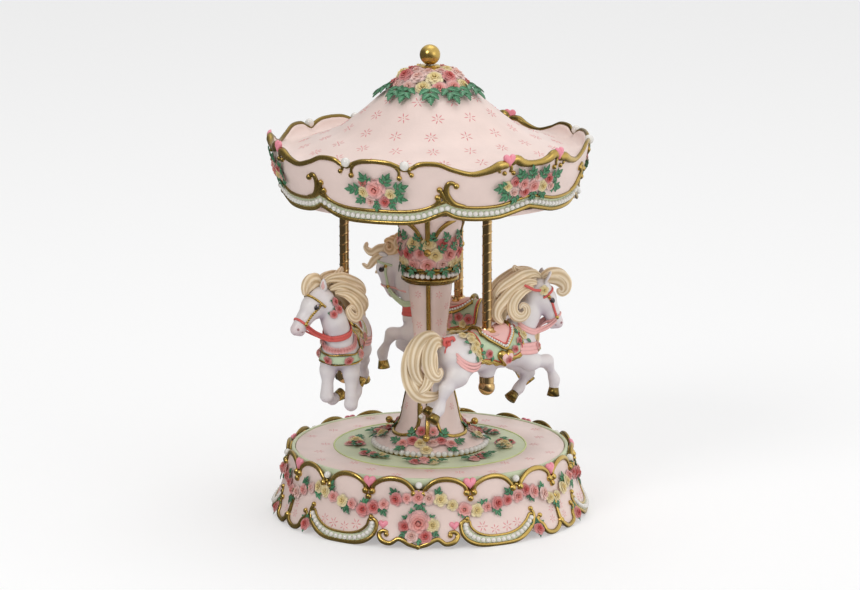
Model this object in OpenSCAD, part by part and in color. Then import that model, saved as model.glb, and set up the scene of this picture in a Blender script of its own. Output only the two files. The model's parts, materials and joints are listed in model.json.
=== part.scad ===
// Carousel music box: three horses on brass poles turn under a rose-trimmed canopy.
// Z is up, the origin is the centre of the base on the table, and -Y is the front.
// Angles run from the front (-Y) towards +X, so a horse that faces +X locally runs anticlockwise.

/* [Base] */
// Widest radius of the cast base, at its foot
base_r = 100; // [97:0.5:103]
// Radius of the base's upper rim
base_rim_r = 90; // [88.5:0.5:91]
// Height of the base's upper rim
base_h = 40.5; // [39:0.5:42]
// Radius of the flat platform disc
platform_r = 84.9; // [83:0.1:85]

/* [Column] */
// Radius of the column's foot disc
foot_r = 35.6; // [33:0.1:36.5]
// Radius of the shaft at its waist
waist_r = 10.4; // [10:0.1:11.5]
// Height of the column's top, hidden in the canopy
column_top = 203; // [201:0.5:204]

/* [Canopy] */
// Outer radius of the canopy's wavy rim
canopy_r = 99; // [97.5:0.5:102]
// Height of the lower edge of the valance
valance_low = 199.5; // [198:0.5:201]
// Height of the roof's top, under the finial
roof_top = 280; // [279:0.5:281]
// Radius of the gilt finial ball
finial_r = 6.4; // [5.5:0.1:7]

/* [Horses] */
// Radius of the circle that the poles stand on
pole_circle = 54.3; // [54:0.1:54.6]
// Angle of the first pole at rest
first_pole = 44.5; // [0:0.5:119.5]
// Radius of the brass pole
pole_r = 3.2; // [3.1:0.05:3.3]
// Turn of the third horse's head, towards the outside
head_turn = 48; // [0:1:60]
// Turn of the first horse's head, towards the outside
first_head_turn = 18; // [0:1:30]
// Turn of the third horse about its pole, in degrees
body_turn = 15; // [0:1:30]

/* [Drive] */
// Radius that the crank pin turns at, half of the horse's travel
crank_r = 4; // [3:0.1:4]
// Height of the crank shafts
crank_z = 222; // [221.5:0.1:222.5]
// Teeth of the fixed crown gear on the column
crown_teeth_n = 36; // [36]
// Teeth of each crank pinion
pinion_teeth_n = 12; // [12]

/* [Hidden] */
$fn = 48;

horse_count = 3;
pink = "#efcfc6";
gilt = "#a9852f";
pearl = "#efe9dc";
rose = "#e58b92";
steel = "#b9bcc0";
brass = "#b8923c";
hide = "#ece6e2";

fit = 0.06;                       // running clearance of a shaft in its bearing
seat = 0.05;                      // gap of a fixed ring on its shaft
plate_z = 12.1;                   // underside of the closing plate
plate_t = 2;
bed_z = plate_z + plate_t;        // the movement stands on the closing plate
bed_t = 1.5;
bed_top = bed_z + bed_t;
platform_z = 37.85;               // underside of the platform disc
platform_t = 3;
platform_top = platform_z + platform_t;
screw_circle = 87.3;
shaft_r = 2.5;
tube_r = 5;
tube_bore = 3.6;
tube_low = 33;
tube_high = crank_z - 2.5;

// crown and pinion of the crank drive, module 1
crank_module = 1;
crown_r = crank_module * crown_teeth_n / 2;
crank_pinion_r = crank_module * pinion_teeth_n / 2;
crown_plane = crank_z - crank_pinion_r;
crown_face = 3.4;

// crown and pinion between the spring barrel and the pinned cylinder
barrel_r = 14.5;
barrel_teeth = 30;
cylinder_teeth = 12;
movement_module = 0.8333;
barrel_crown_r = movement_module * barrel_teeth / 2;
cylinder_pinion_r = movement_module * cylinder_teeth / 2;
barrel_low = 16.2;
barrel_top = 21.8;
barrel_plane = 23;
cylinder_z = barrel_plane + cylinder_pinion_r;
cylinder_r = 6.3;
cylinder_x = 17.6;
cylinder_len = 16.8;
comb_teeth = 18;

// crown and pinion between the cylinder and the governor
governor_module = 0.6;
governor_crown_teeth = 20;
governor_teeth = 8;
governor_crown_r = governor_module * governor_crown_teeth / 2;
governor_pinion_r = governor_module * governor_teeth / 2;
governor_plane = 39.2;
governor_x = governor_plane + governor_pinion_r;

yoke_y = 1.5;                     // half thickness of the yoke along the radius
yoke_gap_x = 6.5;                 // half width of the yoke's window
yoke_gap_z = 9.5;                 // half height of the yoke's window
pin_r = 1.5;
crank_shaft_r = 1.5;
floor_z = 201.5;
floor_t = 2.5;
floor_top = floor_z + floor_t;
boss_circle = 80;
flange_z = 123;
ball_z = 88;
ball_r = 5.15;

function pole_angle(i) = first_pole + i * 360 / horse_count;
function rose_angle(i) = first_pole + 60 + i * 120;

// Puts children at an angle from the front and a distance from the axis.
module polar(angle, r, z = 0) {
    rotate([0, 0, angle]) translate([0, -r, z]) children();
}

module ring(outer, inner, low, high) {
    difference() {
        translate([0, 0, low]) cylinder(r = outer, h = high - low);
        translate([0, 0, low - 1]) cylinder(r = inner, h = high - low + 2);
    }
}

// Straight teeth that stand up from a disc: the pitch plane is z = 0 and a gap faces -Y.
module crown_teeth(count, r, face, thick, add, ded) {
    for (i = [0 : count - 1])
        rotate([0, 0, (i + 0.5) * 360 / count])
            translate([-thick / 2, -r - face / 2, -ded])
                cube([thick, face, add + ded]);
}

// Pinion along +Z with one tooth pointing to -Y.
module pinion(count, r, width, thick, add, ded) {
    cylinder(r = r - ded, h = width);
    for (i = [0 : count - 1])
        rotate([0, 0, i * 360 / count])
            translate([-thick / 2, -r - add, 0])
                cube([thick, add + ded + 0.6, width]);
}

module heart(size) {
    translate([-size * 0.42, 0, 0]) sphere(r = size * 0.55);
    translate([size * 0.42, 0, 0]) sphere(r = size * 0.55);
    translate([0, 0, -size * 0.5]) sphere(r = size * 0.5);
}

// ---------- base ----------

module base_shell() {
    color(pink) difference() {
        rotate_extrude($fn = 120) polygon([
            [93.2, 0], [base_r - 3, 0], [base_r, 2], [base_r, 4.5], [base_r - 4, 10],
            [base_rim_r + 2.5, 22], [base_rim_r + 0.5, 32], [base_rim_r, base_h],
            [platform_r + 0.3, base_h], [platform_r + 0.3, platform_z - 0.05],
            [80, platform_z - 0.05], [80, 34.8], [87, 34.8], [89.2, 22], [90, 17.2],
            [84, 17.2], [84, bed_z + 0.1], [90.9, bed_z + 0.1], [92.9, 9.5]]);
        for (i = [0 : 3])
            polar(45 + 90 * i, screw_circle, 10) cylinder(r = 1.5, h = 6.8);
    }
}

module base_pearls() {
    color(pearl) {
        for (i = [0 : 8]) polar(40 * i, base_rim_r + 0.6, base_h + 0.5) sphere(r = 3.1);
        for (i = [0 : 2], side = [-1, 1])
            rotate([0, 0, 120 * i + side * 30 - 90 - 15])
                rotate_extrude(angle = 30) translate([base_r - 3.4, 8]) circle(r = 2);
    }
}

module base_hearts() {
    color(rose) {
        for (i = [0 : 8]) polar(20 + 40 * i, base_rim_r + 0.6, base_h + 0.5) heart(3.4);
        for (i = [0 : 2], side = [-1, 1])
            polar(120 * i + side * 12.6, base_r - 4.6, 14) heart(3);
    }
}

module base_roses() {
    garland = 36;
    color(rose) {
        for (i = [0 : garland - 1]) {
            a = i * 360 / garland;
            high = 26.5 + 4 * cos(3 * a * 3);
            polar(a, base_rim_r + 2.6, high) sphere(r = 3.6, $fn = 24);
        }
        for (i = [0 : 2]) {
            polar(120 * i, base_r - 5, 18.5) sphere(r = 5.4);
            polar(120 * i + 46, base_r - 3.6, 12) sphere(r = 3.8);
            polar(120 * i - 46, base_r - 3.6, 12) sphere(r = 3.8);
        }
    }
}

module platform_disc() {
    color(pink) difference() {
        translate([0, 0, platform_z]) cylinder(r = platform_r, h = platform_t, $fn = 120);
        translate([0, 0, platform_z - 1]) cylinder(r = tube_r + seat, h = platform_t + 2);
    }
}

module platform_roses() {
    color(rose) for (i = [0 : 7]) {
        polar(45 * i, 47, platform_top + 1.2) sphere(r = i % 2 == 0 ? 3.6 : 2.8);
        polar(45 * i + 6, 45, platform_top + 0.8) sphere(r = 2.2);
        polar(45 * i - 6, 49, platform_top + 0.8) sphere(r = 2.2);
    }
}

module base_plate() {
    color("#5b5350") difference() {
        translate([0, 0, plate_z]) cylinder(r = 90.6, h = plate_t, $fn = 120);
        translate([0, 0, plate_z - 1]) cylinder(r = 3.6, h = plate_t + 2);
        for (i = [0 : 3])
            polar(45 + 90 * i, screw_circle, plate_z - 1) cylinder(r = 1.6, h = plate_t + 2);
        for (p = bed_screw_places())
            translate([p[0], p[1], plate_z - 1]) cylinder(r = 1.6, h = plate_t + 2);
    }
}

// Pan-head screw that points up, with its seat at z = 0.
module screw_up(length, head_r) {
    cylinder(r = 1.45, h = length);
    translate([0, 0, -1.6]) difference() {
        cylinder(r = head_r, h = 1.6);
        translate([-head_r, -0.4, -0.1]) cube([2 * head_r, 0.8, 0.7]);
    }
}

module base_plate_screws() {
    color(steel) for (i = [0 : 3])
        polar(45 + 90 * i, screw_circle, plate_z) screw_up(4.5, 3);
}

// ---------- movement ----------

function bed_screw_places() = [[-17, -17], [-17, 21], [43, 21]];

module movement_bedplate() {
    post_t = 1.4;
    color(brass) difference() {
        union() {
            translate([-20, -24, bed_z]) cube([66, 50, bed_t]);
            for (x = [15.4, governor_plane - 4])                      // cylinder posts
                translate([x, -2.5, bed_top - 0.1]) cube([post_t, 5, 15.5]);
            for (y = [-10.4, -22.4])                                  // governor posts
                translate([governor_x - 2.2, y, bed_top - 0.1]) cube([4.4, post_t, 15]);
            translate([cylinder_x, 20, bed_top - 0.1]) cube([cylinder_len, 6, 11.5]);
        }
        translate([0, 0, bed_z - 1]) cylinder(r = 3 + fit, h = bed_t + 2);
        for (p = bed_screw_places())
            translate([p[0], p[1], bed_z - 1]) cylinder(r = 1.5, h = bed_t + 2);
        translate([10, 0, cylinder_z]) rotate([0, 90, 0]) cylinder(r = 1.2 + fit, h = 30);
        translate([governor_x, -8, cylinder_z]) rotate([90, 0, 0])
            cylinder(r = 0.8 + fit, h = 16);
        for (x = comb_screw_x())
            translate([x, 23, bed_top + 5]) cylinder(r = 1.05, h = 8);
    }
}

module movement_screws() {
    color(steel) for (p = bed_screw_places())
        translate([p[0], p[1], plate_z]) screw_up(4.5, 2.8);
}

function comb_screw_x() = [cylinder_x + 4, cylinder_x + cylinder_len - 4];

module comb() {
    low = bed_top + 11.5;
    pitch = cylinder_len / comb_teeth;
    reach = 0.6;                  // from the cylinder's skin to the tooth tips
    color(steel) difference() {
        union() {
            translate([cylinder_x, 19.6, low]) cube([cylinder_len, 6.4, 1.6]);
            for (i = [0 : comb_teeth - 1])
                translate([cylinder_x + (i + 0.15) * pitch, cylinder_r + reach, low])
                    cube([pitch * 0.7, 14, 0.8]);
        }
        for (x = comb_screw_x()) translate([x, 23, low - 1]) cylinder(r = 1.1, h = 4);
    }
}

module comb_screws() {
    color(brass) for (x = comb_screw_x()) translate([x, 23, bed_top + 13.1]) {
        translate([0, 0, -6]) cylinder(r = 1, h = 6);
        cylinder(r = 2, h = 1.2);
    }
}

module spring_barrel() {
    cavity_r = 13.4;
    color(brass) {
        difference() {
            translate([0, 0, barrel_low]) cylinder(r = barrel_r, h = barrel_top - barrel_low);
            translate([0, 0, barrel_low - 1]) cylinder(r = cavity_r, h = 5.2);
            translate([0, 0, barrel_low]) cylinder(r = shaft_r + seat, h = 10);
        }
        translate([0, 0, barrel_plane]) rotate([0, 0, 90])
            crown_teeth(barrel_teeth, barrel_crown_r, 2.8, 0.75, 0.65, 1.3);
    }
}

module mainspring() {
    turns = 4;
    inner_r = 4.2;
    outer_r = 12.2;
    strip = 0.5;
    steps = 20 * turns;
    function at(i, off) = let (a = 360 * turns * i / steps, r = inner_r +
        (outer_r - inner_r) * i / steps + off) [r * cos(a), r * sin(a)];
    color(steel) translate([0, 0, barrel_low + 0.4]) linear_extrude(3.4)
        polygon(concat([for (i = [0 : steps]) at(i, 0)],
                       [for (i = [steps : -1 : 0]) at(i, strip)]));
}

module winding_arbor() {
    color(steel) translate([0, 0, 5]) cylinder(r = 3, h = 14.8);
}

module winding_key() {
    hub_low = 1.8;
    hub_h = 9.4;
    color(brass) difference() {
        union() {
            translate([0, 0, hub_low]) cylinder(r = 4.4, h = hub_h);
            for (side = [-1, 1]) translate([side * 9.5, 1.1, hub_low + 3.9])
                rotate([90, 0, 0]) cylinder(r = 3.9, h = 2.2);
            translate([-9.5, -1.1, hub_low + 1.2]) cube([19, 2.2, 5.4]);
        }
        translate([0, 0, 5 - 0.1]) cylinder(r = 3 + seat, h = 10);
        for (side = [-1, 1]) translate([side * 9.8, 2, hub_low + 3.9])
            rotate([90, 0, 0]) cylinder(r = 1.6, h = 4);
    }
}

module pin_cylinder() {
    pins = 30;
    pin_h = 0.3;
    color(brass) translate([cylinder_x, 0, cylinder_z]) rotate([0, 90, 0]) difference() {
        union() {
            cylinder(r = cylinder_r, h = cylinder_len);
            for (i = [0 : pins - 1])
                rotate([0, 0, i * 132])
                    translate([cylinder_r - 0.4, -0.2,
                               ((i * 7) % comb_teeth + 0.3) * cylinder_len / comb_teeth])
                        cube([0.4 + pin_h, 0.4, 0.4]);
        }
        translate([0, 0, -1]) cylinder(r = 1.2 + seat, h = cylinder_len + 2);
    }
}

module cylinder_shaft() {
    pinion_x = barrel_crown_r - 1.4;
    color(brass) translate([0, 0, cylinder_z]) {
        translate([9.6, 0, 0]) rotate([0, 90, 0])
            cylinder(r = 1.2, h = governor_plane - 9.6 - 1);
        translate([pinion_x, 0, 0]) rotate([0, 90, 0]) rotate([0, 0, 90])
            pinion(cylinder_teeth, cylinder_pinion_r, 2.8, 0.75, 0.65, 0.85);
        translate([governor_plane - 2, 0, 0]) rotate([0, 90, 0])
            cylinder(r = governor_crown_r + 0.7, h = 1.3);
        translate([governor_plane, 0, 0]) rotate([0, 90, 0])
            crown_teeth(governor_crown_teeth, governor_crown_r, 1, 0.52, 0.45, 0.8);
    }
}

module governor() {
    color(steel) translate([governor_x, 0, cylinder_z]) {
        translate([0, -4, 0]) rotate([90, 0, 0]) cylinder(r = 0.8, h = 19.4);
        translate([0, -governor_crown_r + 1.2, 0]) rotate([90, 0, 0]) rotate([0, 0, 90])
            pinion(governor_teeth, governor_pinion_r, 2.4, 0.52, 0.45, 0.6);
        translate([-5, -18.5, -0.3]) cube([10, 5, 0.6]);             // air-brake fan
    }
}

// ---------- column ----------

module column_shell() {
    color(pink) rotate_extrude($fn = 96) polygon([
        [31, platform_top], [foot_r, platform_top], [foot_r, 44.2], [30, 47], [24, 50],
        [20, 54.6], [16.4, 69], [13, 85], [waist_r + 0.1, 105], [waist_r, 112], [11, 120],
        [13, 136], [13.3, 145], [16.4, 147.4], [17.6, 149], [17.6, 156], [15.4, 158],
        [15.6, 170], [17.5, 176], [19.2, 180], [20.5, 186], [22, 194], [22.5, column_top],
        [tube_r + seat, column_top], [tube_r + seat, column_top - 3.5],
        [18.5, column_top - 3.5], [17, 184], [13.6, 176], [11.8, 168], [11.4, 150],
        [9.6, 140], [7.4, 120], [7, 106], [9.4, 85], [13, 69], [16.4, 55], [20.4, 48.6],
        [28, 44]]);
}

module column_pearls() {
    color(pearl) {
        rotate_extrude($fn = 96) translate([foot_r, 42.9]) circle(r = 1.9);
        rotate_extrude($fn = 96) translate([17.6, 152.5]) circle(r = 1.7);
    }
}

module column_roses() {
    color(rose) {
        for (i = [0 : 11]) polar(30 * i, 16.4, 162 + 4 * (i % 2)) sphere(r = 4.4, $fn = 32);
        for (i = [0 : 2], side = [-1, 0, 1])
            polar(120 * i + 17 * side, 30, 48) sphere(r = 3.4, $fn = 32);
    }
}

module centre_tube() {
    color(steel) ring(tube_r, tube_bore, tube_low, tube_high);
}

module tube_nuts() {
    color(brass) difference() {
        for (low = [platform_z - 4.1, crown_plane - 1.4])
            translate([0, 0, low]) cylinder(r = 8, h = 4, $fn = 6);
        translate([0, 0, tube_low]) cylinder(r = tube_r + seat, h = tube_high - tube_low);
    }
}

module shaft_bushes() {
    color(brass) for (low = [tube_low + 0.2, tube_high - 8])
        ring(tube_bore - 0.04, shaft_r + fit, low, low + 7.6);
}

module crown_gear() {
    color(brass) {
        difference() {
            union() {
                translate([0, 0, column_top]) cylinder(r = 9, h = 9);
                translate([0, 0, crown_plane - 4.8]) cylinder(r = 20.5, h = 3.3);
            }
            translate([0, 0, column_top - 1]) cylinder(r = tube_r + seat, h = 20);
        }
        translate([0, 0, crown_plane]) rotate([0, 0, first_pole])
            crown_teeth(crown_teeth_n, crown_r, crown_face, 0.9, 0.8, 1.7);
    }
}

module thrust_washer() {
    color(brass) ring(7, shaft_r + 0.2, tube_high + 0.02, tube_high + 1.2);
}

// ---------- canopy ----------

module drive_shaft() {
    low = barrel_low + 4.4;
    color(steel) translate([0, 0, low]) cylinder(r = shaft_r, h = 286.5 - low);
}

module crank_frame() {
    hub_low = tube_high + 1.25;
    arm_low = crank_z + 10;
    arm_t = 4;
    ear_z = crank_z - 3.6;
    color(steel) difference() {
        union() {
            translate([0, 0, hub_low]) cylinder(r = 9, h = arm_low + arm_t - hub_low);
            for (i = [0 : horse_count - 1]) rotate([0, 0, pole_angle(i)]) {
                translate([-4, -45, arm_low]) cube([8, 40, arm_t]);
                for (r = [26.5, 44.5])
                    translate([-4, -r, ear_z]) cube([8, 2.5, arm_low - ear_z + 1]);
            }
        }
        translate([0, 0, hub_low - 1]) cylinder(r = shaft_r + seat, h = 30);
        for (i = [0 : horse_count - 1]) polar(pole_angle(i), 22, crank_z)
            rotate([90, 0, 0]) cylinder(r = crank_shaft_r + fit, h = 24);
    }
}

module roof_spacer() {
    color(brass) ring(4.5, shaft_r + seat, crank_z + 14, roof_top - 3.1);
}

module canopy_shell() {
    wall = 3;
    edge = canopy_r - 99;
    color(pink) difference() {
        union() {
            rotate_extrude($fn = 120) polygon([
                [shaft_r + 0.2, roof_top], [7, roof_top], [14, roof_top - 2.5], [20, 272.5],
                [29, 266], [40, 256.5], [48, 250], [59, 242.5], [70, 238], [79, 234.5],
                [88.5, 231.2], [92 + edge, 235], [94.5 + edge, 239], [97 + edge, 239.4],
                [canopy_r, 237.5], [98 + edge, 233], [96 + edge, 222], [92.8, 212],
                [91.6, 205], [91.3, valance_low], [88.6, valance_low], [88.6, 205],
                [89.8, 212], [92.8, 222], [93.4, 229.4], [91.6, 230], [88.4, 227.9],
                [79, 231.5], [70, 234.9], [59, 239.3], [48, 246.6], [40, 252.8],
                [29, 262.2], [20, 268.6], [14, 273.4], [7, roof_top - wall],
                [shaft_r + 0.2, roof_top - wall]]);
            for (i = [0 : 2])
                polar(rose_angle(i), boss_circle, floor_top + 0.05)
                    cylinder(r = 4, h = 28.4);
        }
        for (i = [0 : 2])
            polar(rose_angle(i), boss_circle, floor_top - 1) cylinder(r = 1.5, h = 11);
    }
}

module canopy_floor() {
    color(pink) difference() {
        translate([0, 0, floor_z]) cylinder(r = 88, h = floor_t, $fn = 120);
        translate([0, 0, floor_z - 1]) cylinder(r = 27, h = floor_t + 2, $fn = 96);
        for (i = [0 : horse_count - 1])
            polar(pole_angle(i), pole_circle, floor_z - 1)
                cylinder(r = pole_r + 1.25, h = floor_t + 2);
        for (i = [0 : 2])
            polar(rose_angle(i), boss_circle, floor_z - 1) cylinder(r = 1.6, h = floor_t + 2);
    }
}

module canopy_screws() {
    color(steel) for (i = [0 : 2])
        polar(rose_angle(i), boss_circle, floor_z) screw_up(9, 2.9);
}

module guide_bushes() {
    color(brass) for (i = [0 : horse_count - 1]) polar(pole_angle(i), pole_circle) {
        ring(pole_r + 1.2, pole_r + fit, floor_z - 3, floor_top);
        ring(pole_r + 2.8, pole_r + fit, floor_top, floor_top + 1.1);
    }
}

module finial_ball() {
    low = roof_top + 3.2;
    centre = low + finial_r * 0.98;
    color(gilt) difference() {
        translate([0, 0, centre]) sphere(r = finial_r);
        translate([0, 0, low - 3]) cylinder(r = finial_r, h = 3);
        translate([0, 0, low - 1]) cylinder(r = shaft_r + seat, h = 5);
    }
}

module finial_collar() {
    color(gilt) difference() {
        rotate_extrude() polygon([
            [shaft_r + seat, roof_top], [6.4, roof_top], [6.8, roof_top + 0.8],
            [6.1, roof_top + 1.6], [6.6, roof_top + 2.4], [5.4, roof_top + 3.2],
            [shaft_r + seat, roof_top + 3.2]]);
    }
}

module rose_crown() {
    color(rose) {
        for (i = [0 : 8]) polar(40 * i, 12.6, 279) sphere(r = 4.2, $fn = 32);
        for (i = [0 : 11]) polar(30 * i, 19.5, 273.6) sphere(r = 3.6, $fn = 32);
    }
}

module canopy_pearls() {
    color(pearl) {
        rotate_extrude($fn = 120) translate([91.8, 205]) circle(r = 1.7);
        for (i = [0 : 2], side = [-1, 1])
            polar(rose_angle(i) + 11.1 * side, canopy_r - 1.5, 236.5) sphere(r = 3);
    }
}

module canopy_hearts() {
    color(rose) for (i = [0 : 2], side = [-1, 1])
        polar(pole_angle(i) + 12.5 * side, canopy_r - 1, 236) heart(3);
}

module canopy_roses() {
    color(rose) for (i = [0 : 2]) {
        for (k = [-2 : 2])
            polar(rose_angle(i) + 4 * k, 95, 220.5) sphere(r = k == 0 ? 5 : 3.8, $fn = 32);
        for (k = [-2 : 2])
            polar(pole_angle(i) + 4.6 * k, 95, 221) sphere(r = 3.6, $fn = 32);
    }
}

// ---------- cranks, poles and horses ----------

module crankshaft(i) {
    pinion_low = crown_r - crown_face / 2;
    disc_low = 46.4;
    color(brass) rotate([0, 0, pole_angle(i)]) translate([0, 0, crank_z]) {
        translate([0, -14, 0]) rotate([90, 0, 0]) cylinder(r = crank_shaft_r, h = 33);
        translate([0, -pinion_low, 0]) rotate([90, 0, 0])
            pinion(pinion_teeth_n, crank_pinion_r, crown_face, 0.9, 0.8, 1);
        translate([0, -disc_low, 0]) rotate([90, 0, 0]) cylinder(r = crank_r + 2.2, h = 2.6);
        translate([crank_r, -disc_low, 0]) rotate([90, 0, 0]) cylinder(r = pin_r, h = 11.4);
    }
}

module pole(i) {
    color(brass) polar(pole_angle(i), pole_circle, ball_z + 0.6)
        cylinder(r = pole_r, h = crank_z - yoke_gap_z - 3 - ball_z - 0.6);
}

module yoke(i) {
    bar = 2;
    foot = 3;
    color(steel) polar(pole_angle(i), pole_circle, crank_z) difference() {
        translate([-yoke_gap_x - bar, -yoke_y, -yoke_gap_z - foot])
            cube([2 * (yoke_gap_x + bar), 2 * yoke_y, 2 * yoke_gap_z + bar + foot]);
        translate([-yoke_gap_x, -yoke_y - 1, -yoke_gap_z])
            cube([2 * yoke_gap_x, 2 * yoke_y + 2, 2 * yoke_gap_z]);
    }
}

module pole_flange(i) {
    color(brass) polar(pole_angle(i), pole_circle, flange_z) rotate_extrude() polygon([
        [pole_r + seat, 0], [6.3, 0], [6.5, 0.7], [4.8, 1.6], [4.2, 2.8], [pole_r + seat, 2.8]]);
}

module pole_ball(i) {
    color(brass) polar(pole_angle(i), pole_circle, ball_z) difference() {
        union() {
            sphere(r = ball_r);
            translate([0, 0, 3]) cylinder(r = 4.6, h = 3.6);
        }
        translate([0, 0, 0.5]) cylinder(r = pole_r + seat, h = 9);
    }
}

// A limb from one point to the next, round at both ends.
module limb(a, ra, b, rb) {
    hull() {
        translate(a) sphere(r = ra, $fn = 14);
        translate(b) sphere(r = rb, $fn = 14);
    }
}

module horse_head() {
    limb([0, 0, 3], 10.4, [12, 0, 29], 6.8);          // neck
    limb([14, 0, 31], 6.4, [26, 0, 13], 4);           // head
    limb([-9, 0, 16], 5.4, [-2, 0, 40], 6);           // mane
    limb([-2, 0, 40], 6, [19, 0, 42], 4.6);           // forelock
}

module horse(i) {
    leg_y = 7;
    saddle_r = 7.4;
    boss_r = 5.3;
    color(hide) polar(pole_angle(i), pole_circle) rotate([0, 0, i == 2 ? -body_turn : 0])
    difference() {
        union() {
            limb([-20, 0, 111], 12.6, [25, 0, 110.4], 12.2);
            translate([0, 0, 112]) cylinder(r = saddle_r, h = flange_z - 112.02);
            translate([0, 0, 95.2]) cylinder(r = boss_r, h = 8);
            translate([24, 0, 112]) rotate([0, 0, -[first_head_turn, 0, head_turn][i]]) horse_head();
            limb([-32, 0, 116], 5, [-47, 0, 120], 6);
            limb([-47, 0, 120], 6, [-58, 0, 106], 7);
            limb([-58, 0, 106], 7, [-46, 0, 92], 4.4);
            limb([-24, -leg_y, 106], 8.4, [-39, -leg_y, 95], 4.2);
            limb([-39, -leg_y, 95], 4.2, [-49, -leg_y, 76], 3.2);
            limb([-22, leg_y, 105], 8.4, [-28, leg_y, 91], 4.4);
            limb([-28, leg_y, 91], 4.4, [-40, leg_y, 75], 3.2);
            limb([23, -leg_y, 104], 7, [43, -leg_y, 98.5], 3.9);
            limb([43, -leg_y, 98.5], 3.9, [49, -leg_y, 77], 3.1);
            limb([23, leg_y, 103], 7, [41, leg_y, 90], 3.7);
            limb([41, leg_y, 90], 3.7, [27, leg_y, 76], 3.1);
        }
        translate([0, 0, 80]) cylinder(r = pole_r + 0.2, h = 60);
        translate([0, 0, flange_z - 0.02]) cylinder(r = saddle_r, h = 12);
    }
}

base_shell();
base_pearls();
base_hearts();
base_roses();
platform_disc();
platform_roses();
base_plate();
base_plate_screws();
movement_bedplate();
movement_screws();
comb();
comb_screws();
winding_key();
winding_arbor();
pin_cylinder();
cylinder_shaft();
governor();
column_shell();
column_pearls();
column_roses();
centre_tube();
tube_nuts();
shaft_bushes();
crown_gear();
thrust_washer();
spring_barrel();
mainspring();
drive_shaft();
crank_frame();
roof_spacer();
canopy_shell();
canopy_floor();
canopy_screws();
guide_bushes();
finial_ball();
finial_collar();
rose_crown();
canopy_pearls();
canopy_hearts();
canopy_roses();
for (i = [0 : horse_count - 1]) {
    crankshaft(i);
    pole(i);
    yoke(i);
    pole_flange(i);
    pole_ball(i);
    horse(i);
}
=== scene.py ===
"""Looks of the carousel music box: pink cast resin, antique gold scrolls, roses, pearls, horses.

Lengths are in millimetres until Mesh.build turns them into metres. Angles are in degrees from the
front (-Y) towards +X, and the places that CAD decides are read from the frame.
"""

import json
import math

import bpy
import numpy as np
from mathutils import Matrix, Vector


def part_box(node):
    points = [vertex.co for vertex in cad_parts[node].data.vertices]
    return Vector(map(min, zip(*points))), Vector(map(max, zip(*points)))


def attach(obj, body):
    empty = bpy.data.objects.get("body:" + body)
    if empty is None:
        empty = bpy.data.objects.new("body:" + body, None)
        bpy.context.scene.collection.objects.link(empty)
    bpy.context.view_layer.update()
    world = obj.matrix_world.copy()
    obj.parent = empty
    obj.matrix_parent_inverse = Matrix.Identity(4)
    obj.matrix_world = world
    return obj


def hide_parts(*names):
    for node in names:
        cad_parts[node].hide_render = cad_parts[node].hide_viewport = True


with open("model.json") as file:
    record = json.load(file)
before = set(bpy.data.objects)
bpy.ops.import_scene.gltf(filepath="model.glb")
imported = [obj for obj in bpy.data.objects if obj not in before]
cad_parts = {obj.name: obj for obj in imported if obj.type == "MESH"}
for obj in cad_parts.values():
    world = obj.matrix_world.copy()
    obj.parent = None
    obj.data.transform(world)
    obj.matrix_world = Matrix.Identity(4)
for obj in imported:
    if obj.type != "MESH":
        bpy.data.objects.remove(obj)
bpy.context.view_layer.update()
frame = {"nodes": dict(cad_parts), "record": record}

MM = 0.001
WHITE = (1.0, 1.0, 1.0)
RNG = np.random.default_rng(7)
SIDE_SHADE, GOLD_SIDE_SHADE_AND_WASH = 0.28, 0.6    # how much darker a bar is painted down its sides and on its half towards the surface it lies on: painted shade, and on the gold also its antique wash


def corners(node):
    """Lowest and highest corners of a CAD node, in millimetres."""
    low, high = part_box(node)
    return np.array(low) / MM, np.array(high) / MM


# ------------------------------------------------------------------ places that CAD decides
BASE_R = corners("base_shell")[1][0]
BASE_H = corners("base_shell")[1][2]
DECK_R = corners("platform_disc")[1][0]
DECK_Z = corners("platform_disc")[1][2]
FOOT_R = corners("column_shell")[1][0]
COLUMN_TOP = corners("column_shell")[1][2]
VALANCE_LOW, ROOF_TOP = corners("canopy_shell")[0][2], corners("canopy_shell")[1][2]
POLES = [(corners(f"pole_{i}")[0] + corners(f"pole_{i}")[1]) / 2 for i in (1, 2, 3)]
POLE_R = (corners("pole_1")[1][0] - corners("pole_1")[0][0]) / 2
POLE_ANGLES = [math.degrees(math.atan2(p[0], -p[1])) for p in POLES]
H_CENTRE = POLE_ANGLES[0]                 # a heart pair of the canopy stands over each horse
P_CENTRE = H_CENTRE - 60                  # and a pearl pair half way between two horses


# ------------------------------------------------------------------ numbers to geometry
def distances(path):
    """How far along a path each of its points is."""
    return np.concatenate([[0], np.cumsum(np.linalg.norm(np.diff(path, axis=0), axis=1))])


def even(values, count):
    """Values spread evenly over a run, read at count places."""
    return np.interp(np.linspace(0, 1, count), np.linspace(0, 1, len(values)), values)


def round_angles(count):
    return np.linspace(0, 2 * math.pi, count, endpoint=False)


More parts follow.
